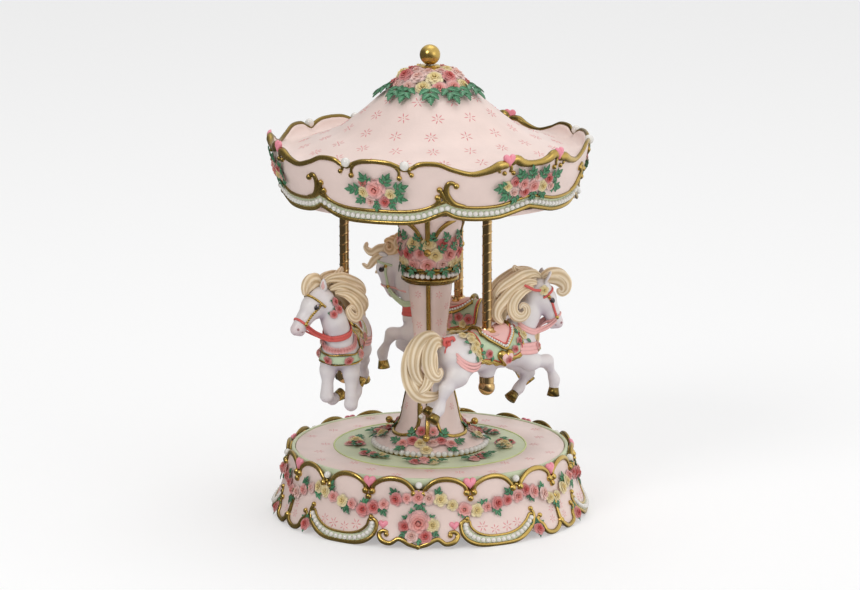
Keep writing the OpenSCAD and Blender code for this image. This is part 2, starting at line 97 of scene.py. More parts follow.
def spline(points, count, closed=False):
    """Evenly spaced points on a smooth curve through the given ones."""
    p = np.asarray(points, float)
    if closed:
        p = np.vstack([p[-2:], p, p[:3]])
    t = np.concatenate([[0], np.cumsum(np.sqrt(np.linalg.norm(np.diff(p, axis=0), axis=1)) + 1e-9)])
    slope = np.gradient(p, t, axis=0)
    low, high = (t[2], t[-3]) if closed else (t[0], t[-1])
    u = np.linspace(low, high, count * 6)
    i = np.clip(np.searchsorted(t, u, side="right") - 1, 0, len(t) - 2)
    h = (t[i + 1] - t[i])[:, None]
    f = ((u - t[i]) / h[:, 0])[:, None]
    dense = ((2 * f**3 - 3 * f**2 + 1) * p[i] + (f**3 - 2 * f**2 + f) * h * slope[i]
             + (3 * f**2 - 2 * f**3) * p[i + 1] + (f**3 - f**2) * h * slope[i + 1])
    length = distances(dense)
    want = np.linspace(0, length[-1], count, endpoint=not closed)
    return np.stack([np.interp(want, length, dense[:, k]) for k in range(p.shape[1])], 1)


def unit(v):
    return v / np.maximum(np.linalg.norm(v, axis=-1, keepdims=True), 1e-9)


def end_fans(rows, sides):
    """Triangles that close both ends of a tube. Its two end points follow its rings."""
    k = np.arange(sides)
    after, last, ends = (k + 1) % sides, (rows - 1) * sides, rows * sides
    return [np.stack([np.full(sides, ends), after, k], 1),
            np.stack([np.full(sides, ends + 1), last + k, last + after], 1)]


def grid_quads(rows, cols, wrap_rows=False, wrap_cols=False):
    """Quads of a grid whose points run along the columns first."""
    r = np.arange(rows if wrap_rows else rows - 1)
    c = np.arange(cols if wrap_cols else cols - 1)
    r, c = [a.ravel() for a in np.meshgrid(r, c, indexing="ij")]
    r2, c2 = (r + 1) % rows, (c + 1) % cols
    return np.stack([r * cols + c, r * cols + c2, r2 * cols + c2, r2 * cols + c], 1)


class Mesh:
    """Collects parts of one Blender piece, each with its own tint and material slot."""

    # side_shade: how much darker each bar of this piece is painted, as shade, down its sides
    def __init__(self, side_shade=SIDE_SHADE):
        self.verts, self.tints, self.faces, self.slots, self.count = [], [], [], [], 0
        self.side_shade = side_shade

    def add(self, verts, faces, tint=WHITE, slot=0):
        verts = np.asarray(verts, float).reshape(-1, 3)
        for f in faces if isinstance(faces, (list, tuple)) else [faces]:
            if len(f):
                self.faces.append(np.asarray(f, int) + self.count)
                self.slots.append(np.full(len(f), slot))
        self.verts.append(verts)
        self.tints.append(np.broadcast_to(np.asarray(tint, float), (len(verts), 3)))
        self.count += len(verts)

    def build(self, name, body, slot, *replaces, more=()):
        """Makes the Blender object, in metres, and lets it ride on a CAD body.

        Its first material is its slot's own, and more holds those of its other faces."""
        mesh = bpy.data.meshes.new(name)
        verts = np.vstack(self.verts) * MM
        sizes = np.concatenate([np.full(len(f), f.shape[1]) for f in self.faces])
        loops = np.concatenate([f.ravel() for f in self.faces])
        mesh.vertices.add(len(verts))
        mesh.vertices.foreach_set("co", verts.astype(np.float32).ravel())
        mesh.loops.add(len(loops))
        mesh.loops.foreach_set("vertex_index", loops.astype(np.int32))
        mesh.polygons.add(len(sizes))
        starts = np.concatenate([[0], np.cumsum(sizes)[:-1]]).astype(np.int32)
        mesh.polygons.foreach_set("loop_start", starts)
        mesh.polygons.foreach_set("material_index", np.concatenate(self.slots).astype(np.int32))
        mesh.polygons.foreach_set("use_smooth", np.full(len(sizes), True))
        mesh.update(calc_edges=True)
        tint = mesh.attributes.new("tint", "FLOAT_COLOR", "POINT")
        rgba = np.ones((len(verts), 4), np.float32)
        rgba[:, :3] = np.vstack(self.tints)
        tint.data.foreach_set("color", rgba.ravel())
        mesh.validate()
        for material in (SLOT_MATERIAL[slot], *more):
            mesh.materials.append(material)
        piece = bpy.data.objects.new(name, mesh)
        bpy.context.scene.collection.objects.link(piece)
        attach(piece, body)
        if replaces:
            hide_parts(*replaces)
        return piece


class Lathe:
    """A surface of revolution. Its outline runs upwards as seen from outside."""

    def __init__(self, outline, count=300):
        line = spline(outline, count)
        self.r, self.z = line[:, 0], line[:, 1]
        self.s = np.concatenate([[0], np.cumsum(np.hypot(np.diff(self.r), np.diff(self.z)))])
        self.dr, self.dz = np.gradient(self.r, self.s), np.gradient(self.z, self.s)

    def s_at_z(self, z):
        return np.interp(z, self.z, self.s)

    def s_at_r(self, r):
        return np.interp(-np.asarray(r, float), -self.r, self.s)

    def frame(self, theta, s, lift=0.0):
        """Points on the surface and their axes: along, up and outwards."""
        theta, s = np.broadcast_arrays(np.asarray(theta, float), np.asarray(s, float))
        r, z = np.interp(s, self.s, self.r), np.interp(s, self.s, self.z)
        dr, dz = np.interp(s, self.s, self.dr), np.interp(s, self.s, self.dz)
        a = np.radians(theta)
        radial = np.stack([np.sin(a), -np.cos(a), 0 * a], -1)
        along = np.stack([np.cos(a), np.sin(a), 0 * a], -1)
        up_z = np.array([0, 0, 1.0])
        up = unit(radial * dr[..., None] + up_z * dz[..., None])
        out = unit(radial * dz[..., None] - up_z * dr[..., None])
        point = radial * r[..., None] + up_z * z[..., None] + out * np.asarray(lift)[..., None]
        return point, along, up, out

    def spot(self, theta, z, lift=0.0, x=0.0):
        """One point at a height, x mm beside an angle, and its three axes."""
        s = self.s_at_z(z)
        point, *axes = self.frame(theta + np.degrees(x / np.interp(s, self.s, self.r)), s, lift)
        return point, axes

    def map(self, theta0, plane, lift=0.0):
        """Lays points of a flat drawing (mm right, z) on the surface, round the angle theta0."""
        plane = np.asarray(plane, float)
        s = self.s_at_z(plane[:, 1])
        r = np.interp(s, self.s, self.r)
        return self.frame(theta0 + np.degrees(plane[:, 0] / r), s, lift)


def sweep(mesh, path, normal, wide, high=None, sides=10, tint=WHITE, closed=False,
          round_ends=True):
    """A bar of oval section along a path. wide lies across the normal, and high along it."""
    path = np.asarray(path, float)
    n = len(path)
    wide = np.broadcast_to(np.asarray(wide, float), (n,))
    high = wide if high is None else np.broadcast_to(np.asarray(high, float), (n,))
    if closed:
        along = unit(np.roll(path, -1, 0) - np.roll(path, 1, 0))
    else:
        along = unit(np.gradient(path, axis=0))
    normal = np.broadcast_to(np.asarray(normal, float), (n, 3))
    side = unit(np.cross(normal, along))
    normal = unit(np.cross(along, side))
    scale = np.ones(n)
    if round_ends and not closed:
        run = distances(path)
        for d, w in ((run, wide[0]), (run[-1] - run, wide[-1])):
            near = np.clip(d / max(w, 1e-6), 0, 1)
            scale = np.minimum(scale, np.sqrt(np.maximum(1 - (1 - near) ** 2, 0.02)))
    phi = np.linspace(0, 2 * math.pi, sides, endpoint=False)
    ring = (path[:, None] + np.cos(phi)[None, :, None] * (side * (wide * scale)[:, None])[:, None]
            + np.sin(phi)[None, :, None] * (normal * (high * scale)[:, None])[:, None])
    # painted shade: a bar is darker down its sides and on its half that faces the surface it lies
    # on
    shade = (1 - mesh.side_shade * np.clip(1.15 - np.sin(phi) * 1.25, 0, 1))[None, :, None]
    tints = (np.asarray(tint, float) * shade * np.ones((n, 1, 1))).reshape(-1, 3)
    quads = grid_quads(n, sides, wrap_rows=closed, wrap_cols=True)
    if closed:
        mesh.add(ring, [quads], tints)
        return
    verts = np.vstack([ring.reshape(-1, 3), path[:1], path[-1:]])
    mesh.add(verts, [quads, *end_fans(n, sides)], np.vstack([tints, tints[:1], tints[-1:]]))


def ball_shape(rings=9, sides=14):
    """A unit ball as vertices, quads and triangles."""
    lat = np.linspace(-math.pi / 2, math.pi / 2, rings + 2)[1:-1]
    lon = np.linspace(0, 2 * math.pi, sides, endpoint=False)
    la, lo = [a.ravel() for a in np.meshgrid(lat, lon, indexing="ij")]
    verts = np.stack([np.cos(la) * np.cos(lo), np.cos(la) * np.sin(lo), np.sin(la)], 1)
    verts = np.vstack([verts, [[0, 0, -1], [0, 0, 1]]])
    return verts, [grid_quads(rings, sides, wrap_cols=True), *end_fans(rings, sides)]


BALL = ball_shape()
FINE_BALL = ball_shape(23, 40)


def ball(mesh, centre, radius, tint=WHITE, shape=BALL):
    mesh.add(np.asarray(centre) + shape[0] * radius, shape[1], tint)


def shell_patch(front, back, rows, cols):
    """A closed thin solid from a front grid and a back grid of points."""
    n = rows * cols
    quads = grid_quads(rows, cols)
    edge = ([r * cols for r in range(rows)] + [(rows - 1) * cols + c for c in range(1, cols)]
            + [r * cols + cols - 1 for r in range(rows - 2, -1, -1)]
            + [c for c in range(cols - 2, 0, -1)])
    edge = np.array(edge)
    nxt = np.roll(edge, -1)
    rim = np.stack([edge, nxt, nxt + n, edge + n], 1)
    return np.vstack([front.reshape(-1, 3), back.reshape(-1, 3)]), [quads[:, ::-1], quads + n, rim]


def lighter(tint, share):
    tint = np.asarray(tint, float)
    return tint + (1 - tint) * share


# ------------------------------------------------------------------ roses, leaves and hearts
def petal(turn, reach, rise, spread, cup, rows, cols):
    """One petal: it starts near the axis, rises, and rolls its lip outwards."""
    b, a = np.meshgrid(np.linspace(0, 1, rows), np.linspace(-1, 1, cols), indexing="ij")
    width = spread * (0.45 + 0.55 * np.sin(np.clip(b * 1.25, 0, 1) * math.pi / 2))
    phi = turn + a * width
    radius = 0.16 + (reach - 0.16) * (b**1.15) * (1 - 0.10 * a**2) + 0.05 * b * np.sin(a * 3 + turn)
    lip = np.clip((b - 0.72) / 0.28, 0, 1)
    height = rise * np.sin(np.clip(b, 0, 1) * math.pi / 2) * (1 - 0.16 * a**2) - cup * lip**2
    radius = radius + 0.10 * lip * (1 - a**2)
    front = np.stack([radius * np.cos(phi), radius * np.sin(phi), height], -1)
    radial = np.stack([np.cos(phi), np.sin(phi), 0 * phi], -1)
    back = front + radial * 0.05 * (1.2 - b)[..., None] - np.array([0, 0, 0.05])
    verts, faces = shell_patch(front, back, rows, cols)
    return verts, faces, np.concatenate([b.ravel(), b.ravel()])


def rose_shape(rows, cols, rings):
    """A rose head of unit radius that opens towards +Z, and how near each point is to a lip."""
    verts, faces, lips, count = [], [], [], 0
    for number, reach, rise, cup, start in rings:
        for k in range(number):
            v, f, b = petal(start + k * 2 * math.pi / number, reach, rise,
                            1.18 * math.pi / number, cup, rows, cols)
            verts.append(v)
            faces.append([q + count for q in f])
            lips.append(b * (0.55 + 0.45 * reach))
            count += len(v)
    turns = np.linspace(0, 2.4 * 2 * math.pi, 26)
    spiral = np.stack([0.15 * turns / turns[-1] * np.cos(turns), 0.15 * turns / turns[-1]
                       * np.sin(turns), 0.70 - 0.05 * turns / turns[-1]], 1)
    bud = Mesh()
    sweep(bud, spiral, (0, 0, 1), 0.035, 0.10, sides=6)
    verts.append(bud.verts[0])
    lips.append(np.full(len(bud.verts[0]), 0.35))
    quads = [np.vstack([f[i] for f in faces]) for i in range(3)]
    quads = np.vstack(quads + [bud.faces[0] + count])
    tris = np.vstack([bud.faces[1], bud.faces[2]]) + count
    return np.vstack(verts), [quads, tris], np.concatenate(lips)


ROSE = rose_shape(6, 7, [(5, 1.0, 0.34, 0.20, 0.2), (5, 0.80, 0.50, 0.12, 0.8),
                         (4, 0.58, 0.62, 0.08, 0.1), (3, 0.36, 0.70, 0.03, 0.6)])
SMALL_ROSE = rose_shape(5, 6, [(5, 1.0, 0.40, 0.16, 0.2), (4, 0.68, 0.58, 0.08, 0.9),
                               (3, 0.38, 0.70, 0.03, 0.3)])

ROSE_PINK = (0.96, 0.43, 0.38)
ROSE_CORAL = (0.78, 0.18, 0.16)
ROSE_BLUSH = (0.97, 0.62, 0.54)
ROSE_YELLOW = (0.98, 0.80, 0.40)
LEAF_GREEN = (0.075, 0.255, 0.125)
PETAL_REACH = 1.10     # the outer petals reach a little past a rose's nominal radius
ROSE_CYCLE = (ROSE_PINK, ROSE_CORAL, ROSE_YELLOW, ROSE_BLUSH, ROSE_CORAL, ROSE_PINK, ROSE_YELLOW)


def turned(axes, spin, tilt=0.0, lean=0.0):
    """Axes (along, up, out) turned about out by spin, then tipped by tilt towards lean."""
    t, u, n = axes
    a, c = math.radians(spin), math.radians(lean)
    away = t * math.cos(c) + u * math.sin(c)
    n2 = unit(n * math.cos(math.radians(tilt)) + away * math.sin(math.radians(tilt)))
    x = unit(np.cross(np.cross(n2, t * math.cos(a) + u * math.sin(a)), n2))
    return np.stack([x, np.cross(n2, x), n2])


def rose(mesh, origin, axes, radius, tint, spin=0.0, tilt=0.0, lean=0.0):
    """A rose head, darker in its heart with painted shade and pale on its lips with a painted
    highlight.
    """
    verts, faces, lip = ROSE if radius > 4 else SMALL_ROSE
    lip = lip[:, None]
    # painted shade deepens the colour into the heart of the rose; a painted highlight pales the
    # lips of the outer petals
    heart_shade_tint = np.asarray(tint) ** 1.2 * (0.76 + 0.24 * lip)
    lip_highlight_tint = lighter(tint, 0.30)
    tints = heart_shade_tint + (lip_highlight_tint - heart_shade_tint) * np.clip(lip * 2.6 - 1.5, 0, 1)
    rows = turned(axes, spin, tilt, lean)
    mesh.add(np.asarray(origin) + (verts * (radius * PETAL_REACH)) @ rows, faces, tints)


def upright(n):
    """Axes (along, up, out) of a spot that faces n, with along level."""
    t = unit(np.cross([0, 0, 1.0], n))
    return t, np.cross(n, t), n


def wild_rose(mesh, origin, axes, radius, tint, tilt=8, spread=0):
    """A rose head turned at random, and tipped by tilt or by up to spread degrees."""
    spin = RNG.uniform(0, 360)
    tilt = RNG.uniform(0, spread) if spread else tilt
    rose(mesh, origin, axes, radius, tint, spin, tilt, RNG.uniform(0, 360))


def leaf_shape(rows=13, cols=7):
    """A saw-edged leaf, one unit long along +X, folded at its midrib."""
    t, s = np.meshgrid(np.linspace(0, 1, rows), np.linspace(-1, 1, cols), indexing="ij")
    half = 0.27 * np.sin(math.pi * t**0.75) ** 0.8
    teeth = 1 + 0.26 * ((np.arange(rows) % 2) * 2 - 1)[:, None] * np.abs(s) ** 2
    y = half * s * teeth
    vein = 0.035 * np.cos(t * 22 - np.abs(s) * 5)
    z = (0.10 * np.abs(s) * np.sin(math.pi * t) + vein * np.abs(s) * (1 - np.abs(s))
         - 0.10 * t**2 + 0.06)
    front = np.stack([t + 0.05 * np.abs(s), y, z], -1)
    back = front - np.array([0, 0, 0.05])
    verts, faces = shell_patch(front, back, rows, cols)
    light = np.clip(1 - np.abs(s) * 4, 0, 1) * 0.5 + np.clip(vein * 14, 0, 0.5)
    return verts, faces, np.concatenate([light.ravel(), light.ravel()])


LEAF = leaf_shape()


def leaf(mesh, origin, axes, length, spin, tint=LEAF_GREEN, tilt=0.0, fan=0):
    """A leaf that points along spin. With fan, it is a sprig with two pairs of side leaflets."""
    rows = turned(axes, spin, tilt, spin + 180)
    if fan:
        for reach, off, share in ((0.02, 1.45, 0.56), (0.32, 1.1, 0.54)):
            for side in (-1, 1):
                leaf(mesh, np.asarray(origin) + rows[0] * length * reach + rows[2] * 0.25, axes,
                     length * share, spin + off * side * fan, tint, tilt)
        origin, length = np.asarray(origin) + rows[0] * length * 0.44, length * 0.62
    tints = np.asarray(tint) * (0.75 + 1.4 * LEAF[2][:, None])
    mesh.add(np.asarray(origin) + (LEAF[0] * length) @ rows, LEAF[1], tints)


def heart_shape(rows=9, cols=28):
    """A puffed heart of unit half width in the X-Y plane, its point towards -Y."""
    a = np.linspace(0, 2 * math.pi, cols, endpoint=False)
    x = np.sin(a) ** 3
    y = (13 * np.cos(a) - 5 * np.cos(2 * a) - 2 * np.cos(3 * a) - np.cos(4 * a)) / 16 + 0.12
    g = np.linspace(0.04, 1, rows)[:, None]
    dome = np.sqrt(np.clip(1 - g**2.2, 0, 1)) * 0.55
    top = np.stack([g * x, g * y, dome + 0 * x], -1)
    low = np.stack([g[::-1] * x, g[::-1] * y, -0.12 + 0 * x * g], -1)
    verts = np.vstack([top.reshape(-1, 3), low.reshape(-1, 3)])
    k = np.arange(cols)
    caps = np.stack([np.zeros(cols, int), k, (k + 1) % cols], 1)[1:-1]
    last = (2 * rows - 1) * cols
    caps = np.vstack([caps[:, ::-1], caps + last])
    return verts, [grid_quads(2 * rows, cols, wrap_cols=True), caps]


HEART = heart_shape()


def heart(mesh, origin, axes, size, tint=WHITE):
    mesh.add(np.asarray(origin) + (HEART[0] * size) @ turned(axes, 0.0), HEART[1], tint)


STAR_PINK = (0.84, 0.24, 0.26)


def star(mesh, surface, theta, s, size, spin=0.0, strokes=6):
    """A star of separate brush strokes laid on a surface."""
    point, _, _, n = surface.frame(theta, s)
    for k in range(strokes):
        a = math.radians(spin + k * 360 / strokes)
        run = np.linspace(0.26, 1, 7) * size
        theta_run = theta + np.degrees(run * math.cos(a) / np.interp(s, surface.s, surface.r))
        s_run = s + run * math.sin(a)
        path, _, _, out = surface.frame(theta_run, s_run, 0.02)
        wide = size * 0.075 * np.sin(np.linspace(0.25, math.pi - 0.15, 7))
        sweep(mesh, path, out, wide, 0.06, sides=6, tint=STAR_PINK)
    ball(mesh, point + n * 0.02, size * 0.07, STAR_PINK)


# ------------------------------------------------------------------ materials
# grain is the noise scale, spread how far the colour varies, and dark the colour of its low spots
def node_material(name, colour, rough, metallic=0.0, spread=0.10, grain=300.0, bump=0.12,
                  coat=0.0, dark=None):
    """A painted or metal finish: the tint attribute times a noisy colour, worn gloss and bump."""
    mat = bpy.data.materials.new(name)
    mat.use_nodes = True
    nodes, links = mat.node_tree.nodes, mat.node_tree.links
    shader = nodes["Principled BSDF"]
    shader.inputs["Metallic"].default_value = metallic
    shader.inputs["Coat Weight"].default_value = coat
    shader.inputs["Coat Roughness"].default_value = 0.25
    place = nodes.new("ShaderNodeTexCoord")
    patches, fine = nodes.new("ShaderNodeTexNoise"), nodes.new("ShaderNodeTexNoise")
    for noise, scale, detail in ((patches, 0.22, 5), (fine, 2.2, 3)):
        noise.inputs["Scale"].default_value = grain * scale
        noise.inputs["Detail"].default_value = detail
        links.new(place.outputs["Object"], noise.inputs["Vector"])
    ramp = nodes.new("ShaderNodeValToRGB")
    ramp.color_ramp.elements[0].position, ramp.color_ramp.elements[1].position = 0.30, 0.72
    colour = np.array(colour)
    low = np.array(dark) if dark is not None else colour * (1 - spread)
    ramp.color_ramp.elements[0].color = (*low, 1)
    ramp.color_ramp.elements[1].color = (*np.clip(colour * (1 + spread * 0.4), 0, 1), 1)
    tint = nodes.new("ShaderNodeAttribute")
    tint.attribute_name = "tint"
    times = nodes.new("ShaderNodeMix")
    times.data_type, times.blend_type = "RGBA", "MULTIPLY"
    times.inputs["Factor"].default_value = 1.0
    gloss = nodes.new("ShaderNodeMapRange")
    gloss.inputs["To Min"].default_value = rough - 0.10
    gloss.inputs["To Max"].default_value = rough + 0.10
    height = nodes.new("ShaderNodeBump")
    height.inputs["Strength"].default_value = bump
    height.inputs["Distance"].default_value = 0.0006
    for source, output, target, socket in (
            (patches, "Fac", ramp, "Fac"), (ramp, "Color", times, "A"),
            (tint, "Color", times, "B"), (times, "Result", shader, "Base Color"),
            (fine, "Fac", gloss, "Value"), (gloss, "Result", shader, "Roughness"),
            (fine, "Fac", height, "Height"), (height, "Normal", shader, "Normal")):
        links.new(source.outputs[output], target.inputs[socket])
    return mat


PINK = node_material("pink_resin_paint", (0.84, 0.665, 0.605), 0.44, spread=0.06, coat=0.25)
GOLD = node_material("antique_gold_paint", (0.66, 0.46, 0.135), 0.25, metallic=0.92, spread=0.3,
                     grain=90.0, dark=(0.48, 0.32, 0.085), bump=0.04)
PEARL = node_material("pearl_paint", (0.80, 0.77, 0.72), 0.18, spread=0.06, coat=0.9, bump=0.04)
HEART_PINK = node_material("heart_paint", (0.90, 0.30, 0.38), 0.34, spread=0.14, coat=0.25)
PAINT = node_material("flower_paint", (0.98, 0.98, 0.98), 0.50, spread=0.10, grain=500, bump=0.10)
LEAF_PAINT = node_material("leaf_paint", (0.95, 0.98, 0.95), 0.42, spread=0.30, coat=0.15)
PALE_GREEN = node_material("pale_green_paint", (0.62, 0.68, 0.46), 0.55, spread=0.08)
HIDE = node_material("horse_paint", (0.80, 0.75, 0.735), 0.42, spread=0.07, coat=0.12, grain=200)
MANE = node_material("mane_paint", (0.93, 0.81, 0.63), 0.50, spread=0.18, grain=260, bump=0.2)
BRASS = node_material("polished_brass_finish", (0.74, 0.49, 0.22), 0.14, metallic=1.0, spread=0.10,
                      grain=150, bump=0.03)
GEAR_BRASS = node_material("cut_brass_finish", (0.70, 0.50, 0.20), 0.32, metallic=1.0, spread=0.14,
                           grain=200, bump=0.08)
STEEL = node_material("steel_finish", (0.52, 0.53, 0.55), 0.30, metallic=1.0, spread=0.12,
                      grain=200, bump=0.06)
DARK_STEEL = node_material("base_plate_finish", (0.16, 0.14, 0.13), 0.45, metallic=0.9, spread=0.18,
                           grain=120, bump=0.08)
EYE = node_material("eye_paint", (0.03, 0.02, 0.02), 0.14, coat=0.8, bump=0.0)
SLOT_MATERIAL = {"pink_resin": PINK, "antique_gold": GOLD, "pearl": PEARL, "pink_heart": HEART_PINK,
                 "painted_roses": PAINT, "ribbon_pink": PAINT, "leaf_green": LEAF_PAINT,
                 "pale_green": PALE_GREEN, "horse_resin": HIDE, "horse_mane": MANE,
                 "polished_brass": BRASS, "brass": GEAR_BRASS, "steel": STEEL,
                 "base_plate": DARK_STEEL}


def revolve(mesh, radius, height, bands=None, tint=WHITE):
    """A closed ring from rows of radius and height, one column for each angle."""
    rows, cols = radius.shape
    a = np.linspace(0, 2 * math.pi, cols, endpoint=False)
    verts = np.stack([radius * np.sin(a), -radius * np.cos(a), height], -1)
    quads = grid_quads(rows, cols, wrap_rows=True, wrap_cols=True)
    bands = np.zeros(rows, int) if bands is None else np.asarray(bands)
    for slot in np.unique(bands):
        pick = bands[np.arange(len(quads)) // cols] == slot
        mesh.faces.append(quads[pick] + mesh.count)
        mesh.slots.append(np.full(pick.sum(), slot))
    mesh.verts.append(verts.reshape(-1, 3))
    mesh.tints.append(np.broadcast_to(np.asarray(tint, float), (rows * cols, 3)))
    mesh.count += rows * cols


def plain_ring(mesh, outline, cols=240, bands=None, tint=WHITE):
    """A ring whose outline, a closed loop that runs upwards outside, is the same at each angle."""
    p = np.asarray(outline, float)
    revolve(mesh, np.repeat(p[:, :1], cols, 1), np.repeat(p[:, 1:], cols, 1), bands, tint=tint)


def fold(angle, period):
    """Distance of an angle from the nearest multiple of period."""
    a = np.asarray(angle, float) % period
    return np.minimum(a, period - a)


def polar(angle, r, z=0.0):
    a = np.radians(angle)
    return np.stack(np.broadcast_arrays(r * np.sin(a), -r * np.cos(a), z), -1)


def outward(angle, level, rise):
    """Axes (along, up, out) at an angle round Z, for a spot that faces level out and rise up."""
    n, t = unit(polar(angle, level, rise)), polar(angle + 90, 1.0)
    return t, np.cross(n, t), n


# ------------------------------------------------------------------ base
BASE = Lathe([(BASE_R - 1.5, 0), (BASE_R - 1, 3), (BASE_R - 3, 8), (BASE_R - 5.2, 14),
              (BASE_R - 7.4, 22), (BASE_R - 9.4, 32), (BASE_R - 10.1, 40), (BASE_R - 11.2, 46)])
RIM_R = BASE_R - 10.1
ARCHES = 18
ARCH = 360 / ARCHES
RISE = BASE_H - 43.8                      # the arches are drawn for a base 43.8 mm high
ARCH_LINE = np.array([(0, 36.6), (3, 36.8), (5, 39.7), (7.7, 42.4), (16, 44.8), (23, 43.5),
                      (28.4, 39.8), (31.4, 36.6)]) + [0, RISE]
PEARL_Z = BASE_H - 2.1


def arch_height(theta):
    """Height of the arched rim: a pearl stands at each even valley and a heart at each odd one."""
    run = np.radians(fold(theta, 2 * ARCH)) * RIM_R
    return np.interp(run, ARCH_LINE[:, 0], ARCH_LINE[:, 1])


# height of the scalloped foot for each degree from the middle of a front
FOOT_LINE = spline([(0, 1.0), (3, 2.9), (7.1, 5.4), (10.2, 2.9), (13.7, 4.6), (15.6, 6.6),
                    (17.8, 5.2), (21.8, 2.0), (26.9, 0.3), (30, 0.05), (37.8, 1.0), (42, 4.4),
                    (44.6, 5.6), (47, 3.0), (49.6, 4.0), (52, 1.8), (55, 0.3), (57.6, 3.0),
                    (60, 5.6)], 160)


def base_wall():
    cols = 1080
    theta = np.arange(cols) * 360 / cols
    top = arch_height(theta) - 0.5
    share = np.linspace(0, 1, 22)[:, None]
    low = np.interp(fold(theta, 120), FOOT_LINE[:, 0], FOOT_LINE[:, 1])
    z = low + share * (top[None] - low)
    r = np.interp(z, BASE.z, BASE.r)
    inner_z = np.array([36.0, 22, 14.2, 9.5])
    inner_r = np.array([86.6, 89.2, 90.9, 92.9])
    one = np.ones((1, cols))
    radius = np.vstack([r[:1] - 0.8, r, r[-1:] - 1.0, r[-1:] - 2.3, inner_r[:, None] * one,
                        93.2 * one])
    height = np.vstack([low[None], z, top[None] + 0.2, top[None], inner_z[:, None] * one,
                        low[None]])
    bands = np.zeros(len(radius), int)
    bands[22:25] = 1                      # the rim's top is gold
    mesh = Mesh()
    revolve(mesh, radius, height, bands)
    margin = [(87.4, 34.8), (87.4, DECK_Z + 0.1), (86.9, DECK_Z + 0.4), (85.6, DECK_Z + 0.4),
              (85.25, DECK_Z), (85.25, 34.8)]
    plain_ring(mesh, margin, bands=[2] * 6)
    mesh.build("base_wall", "base", "pink_resin", "base_shell", more=(GOLD, PALE_GREEN))


DEGREE = math.radians(1) * (BASE_R - 3)   # mm along the foot of the base for each degree


def scroll(mesh, surface, theta0, plane, wide, lift=0.1, mirror=True, across=1.0):
    """Strokes drawn on a surface round an angle, and their mirror images. across scales x."""
    plane = np.asarray(plane, float) * [across, 1]
    line = spline(plane, max(8, int(distances(plane)[-1] / 0.7)))
    shape = even(np.atleast_1d(wide), len(line))
    for side in (1, -1) if mirror else (1,):
        path, _, _, n = surface.map(theta0, line * [side, 1], lift)
        sweep(mesh, path, n, shape, shape * 0.8)


def dot(mesh, theta, x, z, radius, lift, mirror=True):
    """A ball on the base, x mm beside an angle, and its mirror image."""
    for side in (1, -1) if mirror and x else (1,):
        ball(mesh, BASE.spot(theta, z, lift, x * side)[0], radius)


def base_scrolls():
    mesh = Mesh(GOLD_SIDE_SHADE_AND_WASH)
    arch = np.array([(3.0, 36.4), (3.6, 38.2), (5, 39.9), (7.7, 42.4), (11.5, 44.2), (16, 44.8),
                     (20, 44.4), (23, 43.5), (26.3, 41.7), (28.4, 39.8), (29.4, 36.7)])
    for k in range(ARCHES // 2):
        valley = 2 * ARCH * k
        scroll(mesh, BASE, valley, arch + [0, RISE], [1.4, 1.6, 1.75, 1.6, 1.4], lift=-0.1)
        for theta, x, z, size in ((valley, 2.9, 35.8 + RISE, 2.1), (valley, 29.3, 36.0 + RISE, 2.1),
                                  (valley, 0, PEARL_Z - 4.0, 1.0),
                                  (valley + ARCH, 0, 32.6 + RISE, 2.0)):
            dot(mesh, theta, x, z, size, lift=0.5)
    cartouche = [(0, 1.3), (3, 3.1), (7.1, 5.9), (10.2, 3.2), (13.4, 4.6), (14.4, 8.0), (13, 9.9),
                 (11.4, 9.3), (11.7, 8)]
    outer = [(17.4, 17.0), (15.5, 14.6), (15.9, 9.4), (17.8, 5.4), (21.8, 2.3), (26.9, 1.3),
             (30.4, 1.2), (37.8, 2.0), (42, 4.9), (44.9, 9.3), (45.4, 14.4), (44.1, 17.5)]
    inner = [(16.8, 14.5), (18.4, 15.8), (19.2, 12.4), (21.6, 8.9), (25.6, 6.7), (30.4, 6.2),
             (35.4, 6.8), (39.0, 8.8), (41.8, 12.2), (43.4, 15.4), (45.0, 14.4)]
    panel = [(-10.4, 12.5), (-12.0, 11.1), (-9.9, 7), (-9.3, 3.6), (-5, 1.5), (-2, 3.6), (0, 7)]
    shoulder = [(0, 19.8), (1.6, 21.6), (2.8, 20.2), (2.3, 18.2), (1.5, 18.8)]
    for k in range(3):
        front, side = 120 * k, 120 * k + 60
        for theta, line, wide, lift in (
                (front, cartouche, [1.2, 1.6, 1.5, 1.4, 1.6, 1.4, 1.1], 0.3),
                (front, outer, [1.1, 1.4, 1.5, 1.4, 1.1], 0.3), (front, inner, 0.85, 0.2),
                (side, panel, [1.1, 1.4, 1.6, 1.6, 1.4], 0.3),
                (side, shoulder, [1.3, 1.2, 1.0, 0.8], 0.4)):
            scroll(mesh, BASE, theta, line, wide, lift, across=DEGREE)
        scroll(mesh, BASE, side, [(0, 6.4), (0, 12), (0, 21)], [1.9, 1.4, 1.4], 0.3, mirror=False)
        for theta, x, z, size, lift in (
                (front, 17.6, 17.3, 1.6, 0.4), (front, 43.8, 18.1, 1.6, 0.4),
                (front, 11.6, 8.0, 1.6, 0.4), (side, -10.4, 12.9, 1.6, 0.4),
                (side, 0, 6.2, 2.3, 0.5), (side, 0, 21.4, 1.8, 0.5), (front, 0, 1.8, 1.7, 0.5)):
            dot(mesh, theta, x * DEGREE, z, size, lift)
    ground = (-np.inf, -np.inf, 0.0)      # the feet are flat where they stand
    mesh.verts = [np.maximum(v, ground) for v in mesh.verts]
    mesh.build("base_scrolls", "base", "antique_gold")


def crescent_ground():
    """Pale green band between the two lines of each crescent, where its pearls sit."""
    mesh = Mesh()
    share = np.linspace(0, 1, 60)
    line = crescent_line(share)
    for k in range(3):
        for half in (1, -1):
            path, _, _, n = BASE.map(120 * k, line * [half, 1], 0.15)
            sweep(mesh, path, n, 2.6, 0.35, sides=8)
    mesh.build("base_crescent_ground", "base", "pale_green")


